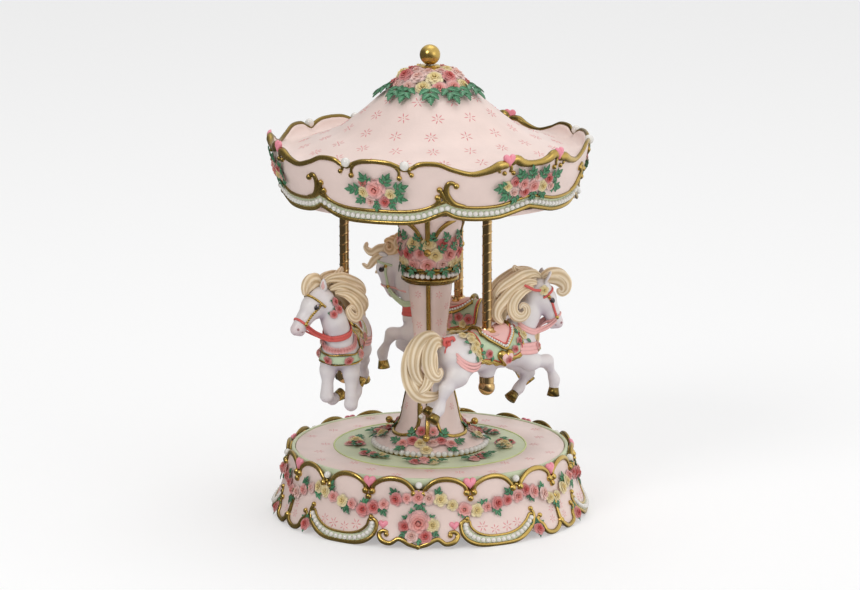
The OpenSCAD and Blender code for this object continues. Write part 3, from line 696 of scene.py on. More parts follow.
def crescent_line(share):
    """Middle of the band between the two lines of a crescent: mm from its cartouche, and height."""
    line = spline([(17.1, 13.6), (17.5, 10.4), (19.7, 6.9), (23.6, 4.5), (28.6, 3.7), (34.0, 4.0),
                   (38.7, 5.7), (41.9, 8.9), (44.0, 12.8)], 40) * [DEGREE, 1]
    run = np.linspace(0, 1, len(line))
    return np.stack([np.interp(share, run, line[:, i]) for i in (0, 1)], -1)


def base_beads():
    """Pearls in the rim's even valleys and in the crescents, and hearts in the odd valleys."""
    pearls, hearts = Mesh(), Mesh()
    for k in range(ARCHES // 2):
        valley = 2 * ARCH * k
        ball(pearls, BASE.spot(valley, PEARL_Z - 0.4, 0.2)[0], 2.15, shape=FINE_BALL)
        heart(hearts, *BASE.spot(valley + ARCH, PEARL_Z, -0.3), 4.1)
    for k in range(3):
        for half in (1, -1):
            for x, z in crescent_line(np.linspace(0, 1, 19)):
                dot(pearls, 120 * k, x * half, z, 1.55, 0.6, mirror=False)
        for x in (-13.0, 13.0):
            heart(hearts, *BASE.spot(120 * k, 13.4, -0.2, x * DEGREE), 3.2)
    pearls.build("base_rim_pearls", "base", "pearl", "base_pearls")
    hearts.build("base_rim_hearts", "base", "pink_heart", "base_hearts")


GARLAND = np.array([(0, 30.6), (9, 29), (13, 26), (20, 21.6), (22, 21.4), (29, 24), (37, 26.8),
                    (44, 29.5), (50, 27), (58, 21), (60, 20.5)])


def base_flowers():
    """The large roses on each front, the small ones beside it, and the garland round the wall."""
    roses, leaves = Mesh(), Mesh()

    def at(theta, x, z, radius, tint, lift):
        wild_rose(roses, *BASE.spot(theta, z, lift, x), radius, tint, spread=14)

    def sprout(theta, x, z, length, spin):
        leaf(leaves, *BASE.spot(theta, z, 0.3, x), length, spin,
             np.array(LEAF_GREEN) * RNG.uniform(0.7, 1.25), tilt=10, fan=40)

    for a in (0, 120, 240):
        for x, z, size, tint in ((0, 15.8, 6.6, ROSE_PINK), (8.6, 14.0, 3.9, ROSE_YELLOW),
                                 (-8.4, 13.2, 3.5, ROSE_CORAL), (-3.8, 7.6, 3.6, ROSE_BLUSH),
                                 (4.6, 7.4, 3.7, ROSE_CORAL)):
            at(a, x, z, size, tint, 0.3)
        for x, z, spin in ((-5.4, 16.6, 150), (-3.2, 19, 105), (2.4, 19.5, 80), (5.6, 17, 35),
                           (0.3, 7.6, 270), (-6.5, 9.6, 205), (8, 10.4, -30)):
            sprout(a, x, z, 5.4, spin)
        for side in (-1, 1):
            at(a + 47 * side, 0, 5.6, 3.5, ROSE_CORAL, 0.2)
            for x, z, spin in ((0, 8.2, 95), (-2, 8, 150), (2.2, 7.6, 30), (0, 4.4, 265)):
                sprout(a + 47 * side, x, z, 4.0, spin)
    blooms, sprigs = 82, 48
    for k in range(blooms):
        theta = k * 360 / blooms + RNG.uniform(-0.5, 0.5)
        z = np.interp(fold(theta, 120), GARLAND[:, 0], GARLAND[:, 1]) + RNG.uniform(-0.7, 0.7)
        at(theta, 0, z, RNG.uniform(2.9, 4.1), ROSE_CYCLE[(k * 3 + k // 5) % 7], 0.5)
    for k in range(sprigs):
        theta = k * 360 / sprigs + RNG.uniform(-1, 1)
        z = np.interp(fold(theta, 120), GARLAND[:, 0], GARLAND[:, 1])
        up = 1 if k % 2 else -1
        sprout(theta, 0, z + 1.2 * up, RNG.uniform(6.4, 8.2), 90 * up + RNG.uniform(-45, 45))
    roses.build("base_garland_roses", "base", "painted_roses", "base_roses")
    leaves.build("base_garland_leaves", "base", "leaf_green")


def base_stars():
    mesh = Mesh()
    for k in range(3):
        for half in (1, -1):
            for off, z, size, spin in ((24, 12.1, 3.6, 480), (28.8, 9.9, 3.3, 576),
                                       (33.8, 10.7, 3.6, 676), (38.3, 12, 3.3, 766),
                                       (56, 8.9, 2.8, 10), (56.6, 14.6, 2.8, 10)):
                star(mesh, BASE, 120 * k + off * half, BASE.s_at_z(z), size, spin)
    mesh.build("base_stars", "base", "painted_roses")


def deck():
    """The platform under the horses: pink, then a line and a pale green ring inside it."""
    mesh = Mesh()
    low = corners("platform_disc")[0][2]
    outline = [(DECK_R, low), (DECK_R, DECK_Z - 0.4), (DECK_R - 0.4, DECK_Z), (61.2, DECK_Z),
               (60.9, DECK_Z - 0.15), (60.5, DECK_Z - 0.15), (60.2, DECK_Z), (36, DECK_Z),
               (5.1, DECK_Z), (5.1, low)]
    plain_ring(mesh, outline, bands=[0, 0, 0, 0, 0, 1, 1, 1, 1, 1])
    mesh.build("deck_disc", "base", "pink_resin", "platform_disc", more=(PALE_GREEN,))
    line = Mesh()
    sweep(line, polar(np.arange(0, 360, 1.5), 60.7, DECK_Z), (0, 0, 1), 0.55, 0.4, closed=True,
          tint=(0.75, 0.85, 0.30))
    line.build("deck_line", "base", "leaf_green")
    flat = Lathe([(r, DECK_Z) for r in (DECK_R, 70, 55, 40, 25)])
    stars, roses, leaves = Mesh(), Mesh(), Mesh()
    for k in range(24):
        star(stars, flat, k * 15 + 4, flat.s_at_r(66 + 6 * (k % 3)), 3.4, k * 17)
    for k in range(8):
        big = k % 2 == 0
        spots = [(0, 47, 4.4 if big else 3.5), (7, 44.6, 3.4), (-7, 49.4, 3.3), (7, 51, 2.9)]
        for j, (off, r, size) in enumerate(spots[:4 if big else 3]):
            p, *axes = flat.frame(45 * k + off, flat.s_at_r(r), 0.2)
            wild_rose(roses, p, axes, size, ROSE_CYCLE[(k + j * 2) % 7], spread=15)
        for off, r, spin in ((3, 51, 60), (-8, 46, 190), (9, 46, -20), (-2, 43, 260),
                             (2, 42.6, 290)):
            p, *axes = flat.frame(45 * k + off, flat.s_at_r(r), 0.7)
            leaf(leaves, p, axes, 7.2, spin, tilt=12, fan=42)
    stars.build("deck_stars", "base", "painted_roses")
    roses.build("deck_roses", "base", "painted_roses", "platform_roses")
    leaves.build("deck_leaves", "base", "leaf_green")


# ------------------------------------------------------------------ column
COLUMN = Lathe([(FOOT_R - 0.4, DECK_Z), (FOOT_R, 42.6), (FOOT_R - 1, 44.4), (30, 46.8), (24, 50),
                (20, 54.6), (16.4, 69), (13, 85), (10.6, 105), (10.4, 112), (11, 120), (13, 136),
                (13.6, 145), (15.6, 158), (15.6, 166), (17.4, 176), (19.2, 180), (20.5, 186),
                (22, 194), (22.4, COLUMN_TOP)])


def column():
    mesh = Mesh()
    wall = [(r, z) for r, z in zip(COLUMN.r[::3], COLUMN.z[::3])]
    inner = [(18.5, COLUMN_TOP), (17, 184), (13.6, 176), (11.4, 150), (9.6, 140), (7.4, 120),
             (7, 106), (9.4, 85), (13, 69), (16.4, 55), (20.4, 48.6), (28, 44), (31, DECK_Z)]
    plain_ring(mesh, wall + inner, cols=160)
    mesh.build("column_wall", "base", "pink_resin", "column_shell")

    gold, pearls, roses, leaves, stars = Mesh(GOLD_SIDE_SHADE_AND_WASH), Mesh(), Mesh(), Mesh(), Mesh()
    column_rings(gold, pearls)
    for k in range(3):
        column_side(k, gold, pearls, roses, leaves, stars)
    capital_flowers(roses, leaves)
    gold.build("column_scrolls", "base", "antique_gold")
    pearls.build("column_beads", "base", "pearl", "column_pearls")
    roses.build("column_flowers", "base", "painted_roses", "column_roses")
    leaves.build("column_leaves", "base", "leaf_green")
    stars.build("column_stars", "base", "painted_roses")


def column_rings(gold, pearls):
    """Gold mouldings and pearls of the waist band and the foot."""
    ring = np.arange(0, 360, 2.5)
    for z, r, wide in ((149.0, 17.0, 1.25), (147.3, 15.4, 0.9), (156.2, 17.4, 1.2),
                       (157.9, 16.2, 0.8)):
        sweep(gold, polar(ring, r, z), (0, 0, 1), wide, closed=True)
    plain_ring(gold, [(16.6, 148.4), (16.9, 156.8), (12.5, 157.4), (12.5, 147.4)], cols=120,
               tint=(0.5, 0.45, 0.4))
    sweep(gold, polar(ring, FOOT_R - 0.6, DECK_Z + 0.5), (0, 0, 1), 1.0, closed=True)
    for count, r, z, size in ((32, 17.3, 152.6, 1.62), (57, FOOT_R - 0.1, 43.2, 1.9)):
        for k in range(count):
            ball(pearls, polar(k * 360 / count, r, z), size)


def column_side(k, gold, pearls, roses, leaves, stars):
    """A third of the column: rib, capital bar, scrolls, foot roses, and stars beside the rib."""
    a = 120 * k
    rib = spline([(31.5, 52.5), (27.5, 51.4), (23.6, 54.2), (19.4, 60.5), (17, 69), (13.6, 85),
                  (11.1, 105), (10.9, 112), (11.5, 120), (13.5, 136), (14.6, 147.4)], 80)
    sweep(gold, polar(a, rib[:, 0], rib[:, 1]), polar(a, 1.0), 1.45, 1.0)
    upper = spline([(16.4, 158), (17.6, 170), (19.2, 177), (20.9, 183), (22.2, 191),
                    (23.2, COLUMN_TOP)], 30)
    sweep(gold, polar(a, upper[:, 0], upper[:, 1]), polar(a, 1.0), 1.6, 1.1)
    ball(gold, polar(a, 31.5, 52.6), 2.3, shape=FINE_BALL)
    ball(gold, polar(a, 21.6, 168.4), 2.3, shape=FINE_BALL)
    scroll(gold, COLUMN, a, [(20, 189), (13, 186.6), (8, 183), (5, 178.6), (3.6, 174.6),
                             (4.6, 172), (6.9, 172.5), (6.4, 174.8)],
           [1.5, 1.6, 1.4, 1.2, 1.0, 0.8], lift=0.5)
    centre = a + 60
    half = [(0, 50.4), (22, 51), (36, 53.6), (42, 59.5), (40.5, 68), (38, 80)]
    line = spline([(-x, z) for x, z in half[::-1]] + half[1:], 90)
    path, _, _, n = COLUMN.frame(centre + line[:, 0], COLUMN.s_at_z(line[:, 1]), 0.15)
    sweep(gold, path, n, 1.25, 1.0)
    for side in (-1, 1):
        rose(roses, *COLUMN.spot(a + 9 * side, 53.4, 0.8), 3.3,
             ROSE_PINK if side > 0 else ROSE_CORAL, 40)
        ball(pearls, COLUMN.spot(a + 14 * side, 63.0, 0.5)[0], 1.5)
        drop = spline([(0, 70), (0, 67.5), (0, 65)], 10)
        scroll(gold, COLUMN, a + 14 * side, drop, [0.3, 0.8, 1.1], mirror=False)
    for j, (off, z) in enumerate([(-30, 46.8), (-19, 48.4), (-8, 47.6), (8, 47.6), (19, 48.4),
                                  (30, 46.8), (0, 44.9)]):
        wild_rose(roses, *COLUMN.spot(a + off, z, 0.3), 3.5, ROSE_CYCLE[(k * 2 + j) % 7])
    for off, z, spin in ((-38, 47.2, 170), (38, 47.2, 10), (-24, 50.4, 110), (-13, 50.6, 80),
                         (13, 50.6, 100), (24, 50.4, 60), (-25, 45.6, 230), (25, 45.6, -50),
                         (-5, 50.4, 95), (5, 50.4, 85)):
        leaf(leaves, *COLUMN.spot(a + off, z, 0.5), 7.0, spin, tilt=12, fan=40)
    for off, z in ((-30, 140), (-24, 122), (-34, 104), (0, 132), (3, 112), (30, 140), (26, 120),
                   (33, 98), (2, 88), (-28, 84), (28, 78), (0, 68)):
        star(stars, COLUMN, centre + off, COLUMN.s_at_z(z), 2.6, off * 7)


def capital_flowers(roses, leaves):
    """Three rows of roses round the capital, with leaves between and beyond them."""
    rows = ((160.6, 16.0, 4.6, -0.28), (166.8, 16.5, 4.9, 0.0), (173.0, 17.2, 4.4, 0.30))
    for row, (z, r, size, rise) in enumerate(rows):
        for k in range(12):
            theta = (k + row * 0.5) * 30
            if fold(theta, 120) < 5 and row == 1:
                continue                  # a gold ball of the rib is here
            wild_rose(roses, polar(theta, r, z + RNG.uniform(-0.6, 0.6)), outward(theta, 1.0, rise),
                      size * RNG.uniform(0.9, 1.08), ROSE_CYCLE[(k * 3 + row * 2) % 7])
    for k in range(36):
        theta = k * 10 + RNG.uniform(-3, 3)
        z, spin, r = ((158.2, 270, 18.0), (175.6, 90, 19.0), (169.5, 60, 19.4))[k % 3]
        leaf(leaves, polar(theta, r, z), outward(theta, 1.0, 0.1), 6.2,
             spin + RNG.uniform(-40, 40), tilt=10, fan=46)


# ------------------------------------------------------------------ canopy
VALANCE = Lathe([(91.3, VALANCE_LOW - 0.5), (92, 205), (93.2, 212), (96.2, 222), (98.2, 232),
                 (99, 240)])
ROOF = Lathe([(93.4, 231.4), (88.5, 231.4), (79, 234.5), (70, 238), (59, 242.5), (48, 250),
              (40, 256.5), (29, 266), (20, 272.5), (14, 277.5), (7, ROOF_TOP)])
BAND = np.array([(0, 203.8), (12, 204.2), (17.6, 205.8), (22, 208.5), (25.7, 210.7), (30, 207.5),
                 (37.8, 205.9), (46.7, 206.3), (53, 208.5), (60, 211)])
# heights of the pearl band and of the rim, for each degree from the middle of a pearl pair
RIM = np.array([(0, 238.5), (5, 237.8), (8, 236), (10.8, 233.5), (13.4, 235), (16, 237.4),
                (22, 237.6), (28, 233.8), (35, 230.9), (41, 232.8), (45, 235.5), (48.5, 236),
                (51, 238.5), (54, 236), (57, 234.8), (60, 234.6)])
BAND = np.vstack([spline(BAND[:5], 40), spline(BAND[4:], 40)[1:]])
RIM = np.vstack([spline(RIM[:4], 30), spline(RIM[3:], 120)[1:]])


def band_z(theta):
    """Middle of the pearl band: it dips under the rose groups and peaks at the cusps between."""
    return np.interp(fold(np.asarray(theta) - P_CENTRE, 120), BAND[:, 0], BAND[:, 1])


def rim_z(theta):
    return np.interp(fold(np.asarray(theta) - P_CENTRE, 120), RIM[:, 0], RIM[:, 1])


def canopy_wall():
    cols = 720
    theta = np.arange(cols) * 360 / cols
    band, top = band_z(theta), rim_z(theta) - 0.6
    rows = [band - 4.4, band - 3.3, band, band + 3.4]
    rows += [band + 3.4 + (top - band - 3.4) * k / 10 for k in range(1, 11)]
    z = np.array(rows)
    r = np.interp(z, VALANCE.z, VALANCE.r)
    one = np.ones((1, cols))
    roof = np.stack([ROOF.r[::6], ROOF.z[::6]], 1)
    under = roof[::-1] - [0, 3]
    rim_low = np.maximum(z[-1:] - 1.6, 231.4)
    inner_z = np.array([z[3] + 14, z[3] + 2, z[0]])
    inner_r = np.interp(inner_z, VALANCE.z, VALANCE.r) - 2.5
    radius = np.vstack([r, r[-1:] - 1.2, r[-1:] - 2.4, r[-1:] - 2.8, roof[:, :1] * one,
                        2.8 * one, 2.8 * one, under[:, :1] * one, inner_r])
    height = np.vstack([z, z[-1:] + 0.3, z[-1:], rim_low, roof[:, 1:] * one, roof[-1, 1] * one,
                        under[0, 1] * one, under[:, 1:] * one, inner_z])
    bands = np.zeros(len(radius), int)
    bands[1:3] = 1                        # the ground of the pearl band is green
    mesh = Mesh()
    revolve(mesh, radius, height, bands)
    mesh.build("canopy_wall", "canopy", "pink_resin", "canopy_shell", more=(PALE_GREEN,))


VALANCE_DEGREE = math.radians(1) * 95     # mm along the valance for each degree


def canopy_scrolls():
    gold, pearls, hearts = Mesh(GOLD_SIDE_SHADE_AND_WASH), Mesh(), Mesh()
    theta = np.arange(0, 360, 0.5)
    for off, wide in ((-3.5, 1.35), (3.6, 1.1)):
        path, _, _, n = VALANCE.frame(theta, VALANCE.s_at_z(band_z(theta) + off), 0.1)
        sweep(gold, path, n, wide, 0.95, closed=True)
    thick = np.interp(fold(theta - P_CENTRE, 120),
                      [0, 8, 11, 16, 24, 34, 40, 44.5, 47.4, 48.5, 49.6, 52.5, 56, 60],
                      [1.5, 1.6, 1.1, 1.6, 1.5, 1.6, 2.2, 3.0, 2.6, 1.6, 2.6, 3.0, 2.3, 2.0])
    path, _, _, n = VALANCE.frame(theta, VALANCE.s_at_z(np.minimum(rim_z(theta), 238.6)),
                                  -0.3 + (thick - 1.5) * 0.5)
    sweep(gold, path, n, thick, thick * 0.8, closed=True, sides=12)
    count = 168
    for k in range(count):
        a = k * 360 / count
        ball(pearls, VALANCE.spot(a, band_z(a), 0.5)[0], 1.62)
    # strokes and balls are drawn in degrees from a pearl pair, on both sides of it
    strokes = (([(8, 236), (9.2, 232.4), (9, 229.6)], [1.2, 1.0, 0.9]),
               ([(13.4, 235.4), (12.9, 233), (13.4, 231.2)], [1.2, 1.0, 0.9]),
               ([(19.4, 210.4), (22.0, 213), (23.4, 216.4)], [1.0, 1.5, 1.4]),
               ([(25.4, 213.6), (24.6, 217.6), (23.8, 221.4)], [1.5, 1.6, 1.3]),
               ([(32.5, 210.4), (28.2, 212.7), (26.1, 217.8), (26, 222.8), (27.1, 225.8),
                 (28.7, 225.6), (29.1, 224.4)], [1.2, 1.8, 2.0, 1.7, 1.3]),
               ([(46.2, 235.2), (46.0, 232.6), (46.8, 230.6)], [1.3, 1.1, 0.9]),
               ([(50.8, 236), (51.2, 233), (50.4, 230.6)], [1.3, 1.1, 0.9]))
    balls = ((9, 229, 1.7), (13.4, 231, 1.5), (22.6, 216.9, 2.0), (23.2, 221.9, 1.9),
             (29.1, 224.1, 1.9), (46.8, 230.4, 1.5), (50.4, 230.2, 1.5))
    for a in (P_CENTRE, P_CENTRE + 120, P_CENTRE + 240):
        for line, wide in strokes:
            scroll(gold, VALANCE, a, line, wide, 0.2, across=VALANCE_DEGREE)
        for side in (-1, 1):
            for off, z, size in balls:
                ball(gold, VALANCE.spot(a + off * side, z, 0.4)[0], size)
            ball(pearls, VALANCE.spot(a + 10.9 * side, 236.6, 0.2)[0], 2.9, shape=FINE_BALL)
            p, axes = VALANCE.spot(a + 48.5 * side, 237.2, 0.4)
            heart(hearts, p + axes[1], axes, 4.3)
    gold.build("canopy_scrolls", "canopy", "antique_gold")
    pearls.build("canopy_beads", "canopy", "pearl", "canopy_pearls")
    hearts.build("canopy_rim_hearts", "canopy", "pink_heart", "canopy_hearts")


def canopy_flowers():
    roses, leaves, stars = Mesh(), Mesh(), Mesh()
    groups = (
        (P_CENTRE, [(0, 221.7, 5.6, ROSE_PINK), (-4.7, 219.4, 3.4, ROSE_YELLOW),
                    (5.6, 219, 3.4, ROSE_YELLOW), (-2.3, 213.6, 3.2, ROSE_BLUSH),
                    (3.2, 213.8, 3.4, ROSE_CORAL), (-4.4, 225, 2.8, ROSE_CORAL)],
         [(-8.2, 221, 180), (-6, 213.6, 210), (-3.4, 226, 120), (4.2, 226.4, 60), (9.4, 222.7, 20),
          (8.6, 217, -15), (0.2, 211.4, 265), (6, 212, -50)]),
        (H_CENTRE, [(-11.6, 222, 3.0, ROSE_YELLOW), (-8.4, 224.6, 3.1, ROSE_CORAL),
                    (-8.6, 218, 3.2, ROSE_BLUSH), (-4.6, 222.6, 3.4, ROSE_PINK),
                    (-3.6, 217.6, 3.2, ROSE_CORAL), (0, 220.6, 3.8, ROSE_PINK),
                    (1, 226, 2.9, ROSE_BLUSH), (4.8, 219.4, 3.3, ROSE_YELLOW),
                    (7.4, 223.6, 3.2, ROSE_CORAL), (9.4, 218.6, 3.0, ROSE_BLUSH)],
         [(-15.4, 222.4, 185), (-13, 217.6, 215), (12.2, 218, -15), (11.6, 225, 30),
          (-2, 227.6, 95), (4, 227.4, 60), (-7, 227.4, 120), (0.6, 215.6, 265),
          (5.6, 215.4, -60), (-9, 214.4, 240)]))
    for k in range(3):
        for centre, heads, sprouts in groups:
            for off, z, size, tint in heads:
                wild_rose(roses, *VALANCE.spot(centre + 120 * k + off, z), size, tint, spread=12)
            for off, z, spin in sprouts:
                near = 221 + (z - 221) * 0.72
                leaf(leaves, *VALANCE.spot(centre + 120 * k + off * 0.78, near, 0.5),
                     8.6 if z > 216 else 6.6, spin, tilt=10, fan=40)
    for r, count in ((79, 21), (66, 18), (53, 15), (41, 12), (31, 9)):
        for k in range(count):
            star(stars, ROOF, k * 360 / count + r, ROOF.s_at_r(r), 4.4, k * 23, 6 + k % 2)
    roses.build("canopy_flowers", "canopy", "painted_roses", "canopy_roses")
    leaves.build("canopy_leaves", "canopy", "leaf_green")
    stars.build("canopy_stars", "canopy", "painted_roses")


def finial_crown():
    """Three rings of roses round the finial, and the leaves under them."""
    crown, leaves = Mesh(), Mesh()
    tones = (ROSE_BLUSH, ROSE_YELLOW, ROSE_PINK, ROSE_BLUSH, ROSE_CORAL, ROSE_PINK, ROSE_YELLOW)
    rings = ((10.2, 279.0, 8, 4.2, 74), (16.0, 276.6, 10, 5.0, 60), (21.0, 271.0, 14, 4.7, 36))
    for row, (r, z, count, size, slant) in enumerate(rings):
        for k in range(count):
            a = (k + 0.37 * row) * 360 / count
            axes = outward(a, math.cos(math.radians(slant)), math.sin(math.radians(slant)))
            wild_rose(crown, polar(a, r, z), axes, size * RNG.uniform(0.92, 1.08),
                      tones[(k * 3 + row) % 7])
    for k in range(14):
        a = k * 360 / 14 + RNG.uniform(-5, 5)
        p, *axes = ROOF.frame(a, ROOF.s_at_r(23.0), 1.0)
        leaf(leaves, p, axes, RNG.uniform(11.5, 14), 270 + RNG.uniform(-25, 25), tilt=6,
             fan=38)
    crown.build("finial_rose_crown", "canopy", "painted_roses", "rose_crown")
    leaves.build("finial_leaves", "canopy", "leaf_green")


# ------------------------------------------------------------------ poles
def poles():
    """Brass tubes, each with one thin raised spiral, a painted highlight along it and painted shade
    over the rest of the tube.
    """
    pitch, sides, rows_per_turn, groove = 6.0, 40, 14, 0.3
    k = np.arange(sides)
    phi = round_angles(sides)
    for i in (1, 2, 3):
        low, high = corners(f"pole_{i}")
        x, y = (low[:2] + high[:2]) / 2
        z = np.linspace(low[2], high[2], int((high[2] - low[2]) / pitch * rows_per_turn))
        twist = np.cos(phi[None] - 2 * math.pi * z[:, None] / pitch)
        ridge = np.clip((twist - 0.93) / 0.07, 0, 1) ** 0.7
        r = POLE_R - groove * (1 - ridge)
        verts = np.stack([x + r * np.cos(phi), y + r * np.sin(phi),
                          np.broadcast_to(z[:, None], r.shape)], -1)
        mesh = Mesh()
        # painted highlight on the raised spiral, and painted shade over the rest of the tube
        mesh.add(verts, grid_quads(len(z), sides, wrap_cols=True),
                 (0.78 + 0.5 * ridge).reshape(-1, 1) * np.ones(3))
        for cap in (verts[0, ::-1], verts[-1]):
            mesh.add(np.vstack([cap, cap.mean(0)]),
                     np.stack([np.full(sides, sides), k, (k + 1) % sides], 1))
        mesh.build(f"twisted_pole_{i}", f"horse_{i}", "polished_brass", f"pole_{i}")


# ------------------------------------------------------------------ horses
def blend_distance(points, bones, soft=3.2):
    """Smooth union of tapered bones. A bone is (a, ra, b, rb, flat): flat narrows it across y."""
    total = None
    for a, ra, b, rb, flat in bones:
        scale = np.array([1.0, flat, 1.0])
        p, start = (points - np.asarray(a)) * scale, np.zeros(3)
        run = (np.asarray(b, float) - np.asarray(a, float)) * scale
        h = np.clip((p @ run) / max(run @ run, 1e-9), 0, 1)
        d = np.linalg.norm(p - start - h[..., None] * run, axis=-1) - (ra + (rb - ra) * h)
        d = d / (1 + (flat - 1) * 0.5)
        if total is None:
            total = d
        else:
            h = np.maximum(soft - np.abs(total - d), 0) / soft
            total = np.minimum(total, d) - h * h * soft * 0.25
    return total


def edge_ends(axis, others):
    """Index of the first and the second ends of a grid's edges along an axis."""
    one, two = [others] * 3, [others] * 3
    one[axis], two[axis] = slice(None, -1), slice(1, None)
    return tuple(one), tuple(two)


def surface_net(distance, low, high, step):
    """Quad mesh of the zero surface of a distance function, one point in each crossed cell."""
    axes = [np.arange(a, b + step, step) for a, b in zip(low, high)]
    grid = np.stack(np.meshgrid(*axes, indexing="ij"), -1)
    f = distance(grid.reshape(-1, 3)).reshape(grid.shape[:3])
    inside = f < 0
    shape = np.array(f.shape) - 1
    total, hits = np.zeros((*shape, 3)), np.zeros(shape)
    for axis in range(3):
        one, two = edge_ends(axis, slice(None))
        cross = inside[one] != inside[two]
        place = grid[one].copy()
        place[..., axis] += step * np.where(cross, f[one] / np.where(cross, f[one] - f[two], 1), 0)
        for shifts in ((0, 0), (0, 1), (1, 0), (1, 1)):     # the four cells round each edge
            cells = [slice(None)] * 3
            for k, shift in zip([k for k in range(3) if k != axis], shifts):
                cells[k] = slice(shift, shift + shape[k])
            cells = tuple(cells)
            total += place[cells] * cross[cells][..., None]
            hits += cross[cells]
    mixed = hits > 0
    index = np.full(shape, -1)
    index[mixed] = np.arange(mixed.sum())
    faces = []
    for axis in range(3):
        one, two = edge_ends(axis, slice(1, -1))
        cell = np.argwhere(inside[one] != inside[two])
        away = inside[one][tuple(cell.T)]
        cell = cell + (np.arange(3) != axis)
        ring = []
        for i, j in ((1, 1), (0, 1), (0, 0), (1, 0)):
            at = cell.copy()
            at[:, (axis + 1) % 3] -= i
            at[:, (axis + 2) % 3] -= j
            ring.append(index[tuple(at.T)])
        quads = np.stack(ring, 1)
        faces.append(np.where(away[:, None], quads, quads[:, ::-1]))
    return total[mixed] / hits[mixed][:, None], np.vstack(faces)


def slope_of(distance, points):
    e = 0.4
    g = [distance(points + d) - distance(points - d) for d in np.eye(3) * e]
    return unit(np.stack(g, -1))


def cast(distance, start, towards, steps=60):
    """Points and normals where rays from outside meet the surface."""
    start, towards = np.broadcast_arrays(np.asarray(start, float), np.asarray(towards, float))
    reach = np.linalg.norm(towards - start, axis=-1)
    run = unit(towards - start)
    gone = np.zeros(reach.shape)
    for _ in range(steps):
        gone = np.clip(gone + distance(start + run * gone[..., None]) * 0.75, 0, reach)
    p = start + run * gone[..., None]
    return p, slope_of(distance, p)


def lock(mesh, path, wide, tint=WHITE, normal=(0, -1, 0.01), split=0.0):
    """A grooved lock of hair along a smooth path. With split, it parts into two strands."""
    flat, ridges = 0.75, 5
    path = np.asarray(path, float)
    if split:
        line = spline(path, 40)
        share = np.linspace(0, 1, 40)
        size = even(wide, 40)
        side = unit(np.cross(np.broadcast_to(normal, (40, 3)), np.gradient(line, axis=0)))
        for k, shade in ((-1, 0.94), (1, 1.04)):
            away = (k * split * size * np.sin(math.pi * share) ** 0.6)[:, None]
            lock(mesh, (line + side * away)[::3], size * 0.66, np.asarray(tint) * shade, normal)
        return
    reach = distances(path)[-1]
    n = max(16, int(reach / 0.9))
    line = spline(path, n)
    share = np.linspace(0, 1, n)
    wide = even(wide, n)
    along = unit(np.gradient(line, axis=0))
    side = unit(np.cross(np.broadcast_to(normal, (n, 3)), along))
    out = unit(np.cross(along, side))
    near = np.clip(np.minimum(share, 1 - share) * reach / np.maximum(wide, 0.5), 0, 1)
    wide = wide * np.sqrt(np.maximum(1 - (1 - near) ** 2, 0.02))
    sides = 6 * ridges
    phi = np.linspace(0, 2 * math.pi, sides, endpoint=False)
    wave = np.cos(phi[None] * ridges + share[:, None] * 5)
    r = wide[:, None] * (1 + 0.10 * wave)
    ring = (line[:, None] + (np.cos(phi) * r)[..., None] * side[:, None]
            + (np.sin(phi) * r * flat)[..., None] * out[:, None])
    pale = (0.45 * share)[:, None, None]      # the tips are paler, and painted shade makes the grooves darker and browner
    shade = (0.68 + 0.34 * (wave * 0.5 + 0.5))[..., None] * (
        np.asarray(tint) * (1 - pale) + np.array([1.0, 0.98, 1.05]) * pale)
    # painted shade: a browner tone in the grooves
    shade = shade * np.array([1, 0.86, 0.66]) ** (0.5 - 0.5 * wave)[..., None]
    verts = np.vstack([ring.reshape(-1, 3), line[:1], line[-1:]])
    tints = np.vstack([shade.reshape(-1, 3), shade[0, :1], shade[-1, :1]])
    mesh.add(verts, [grid_quads(n, sides, wrap_cols=True), *end_fans(n, sides)], tints)


NECK = np.array([24.0, 0.0, 112.0])       # a turned head swings about this point
BELLY_Z = 111.0                           # axis of the horse's barrel
RED, SOFT_PINK, BORDER_GREEN = (0.72, 0.12, 0.10), (0.93, 0.50, 0.47), (0.60, 0.72, 0.48)
CREAM, BLONDE, BROWN = (1.0, 0.95, 0.86), (1.0, 0.97, 0.90), (0.82, 0.60, 0.38)


HORSE_SLOTS = {"hide": "horse_resin", "mane": "horse_mane", "cloth": "ribbon_pink",
               "gold": "antique_gold", "pearl": "pearl", "rose": "painted_roses",
               "leaf": "leaf_green"}
CURLED_FORELOCK = [(40, 0, 152), (47, -0.6, 153.6), (53, -1, 152), (56.6, -1.6, 147.4),
                   (55.6, -2, 143), (52.6, -2, 142.8), (52, -2, 145.6)]
SMOOTH_FORELOCK = [(39, 0, 153.4), (44, -0.6, 155.6), (48.4, -1, 152.6), (49.8, -1.4, 147)]


# bones are (start, radius, end, radius, flatness): barrel, rump, breast, withers, tail root and
# the boss round the pole, then a shoulder and a haunch on each side
BODY_BONES = [((-20, 0, 111.6), 12.3, (16, 0, 110.8), 11.7, 1.16),
              ((-27, 0, 112.6), 12.4, (-24, 0, 112), 12.2, 1.12),
              ((16, 0, 111), 11.6, (27, 0, 110), 10.6, 1.12),
              ((6, 0, 117), 5.5, (16, 0, 119), 6, 1.0),
              ((-33, 0, 116), 4.6, (-35, 0, 118), 3.8, 1.0),
              ((0, 0, 98), 5.3, (0, 0, 108), 5.3, 1.0)]
for flank in (-1, 1):
    BODY_BONES += [((27, 4.6 * flank, 106), 6.2, (30, 4.4 * flank, 110), 5.6, 1.0),
                   ((-29, 5.6 * flank, 113), 7.4, (-22, 6 * flank, 108), 7.4, 1.0)]
SKULL_RADII = (6.8, 7.0, 4.6, 3.5, 3.3)    # from the poll to the muzzle
NECK_SHARES = (0.0, 0.45, 0.85)            # how far each point of the neck turns with the head


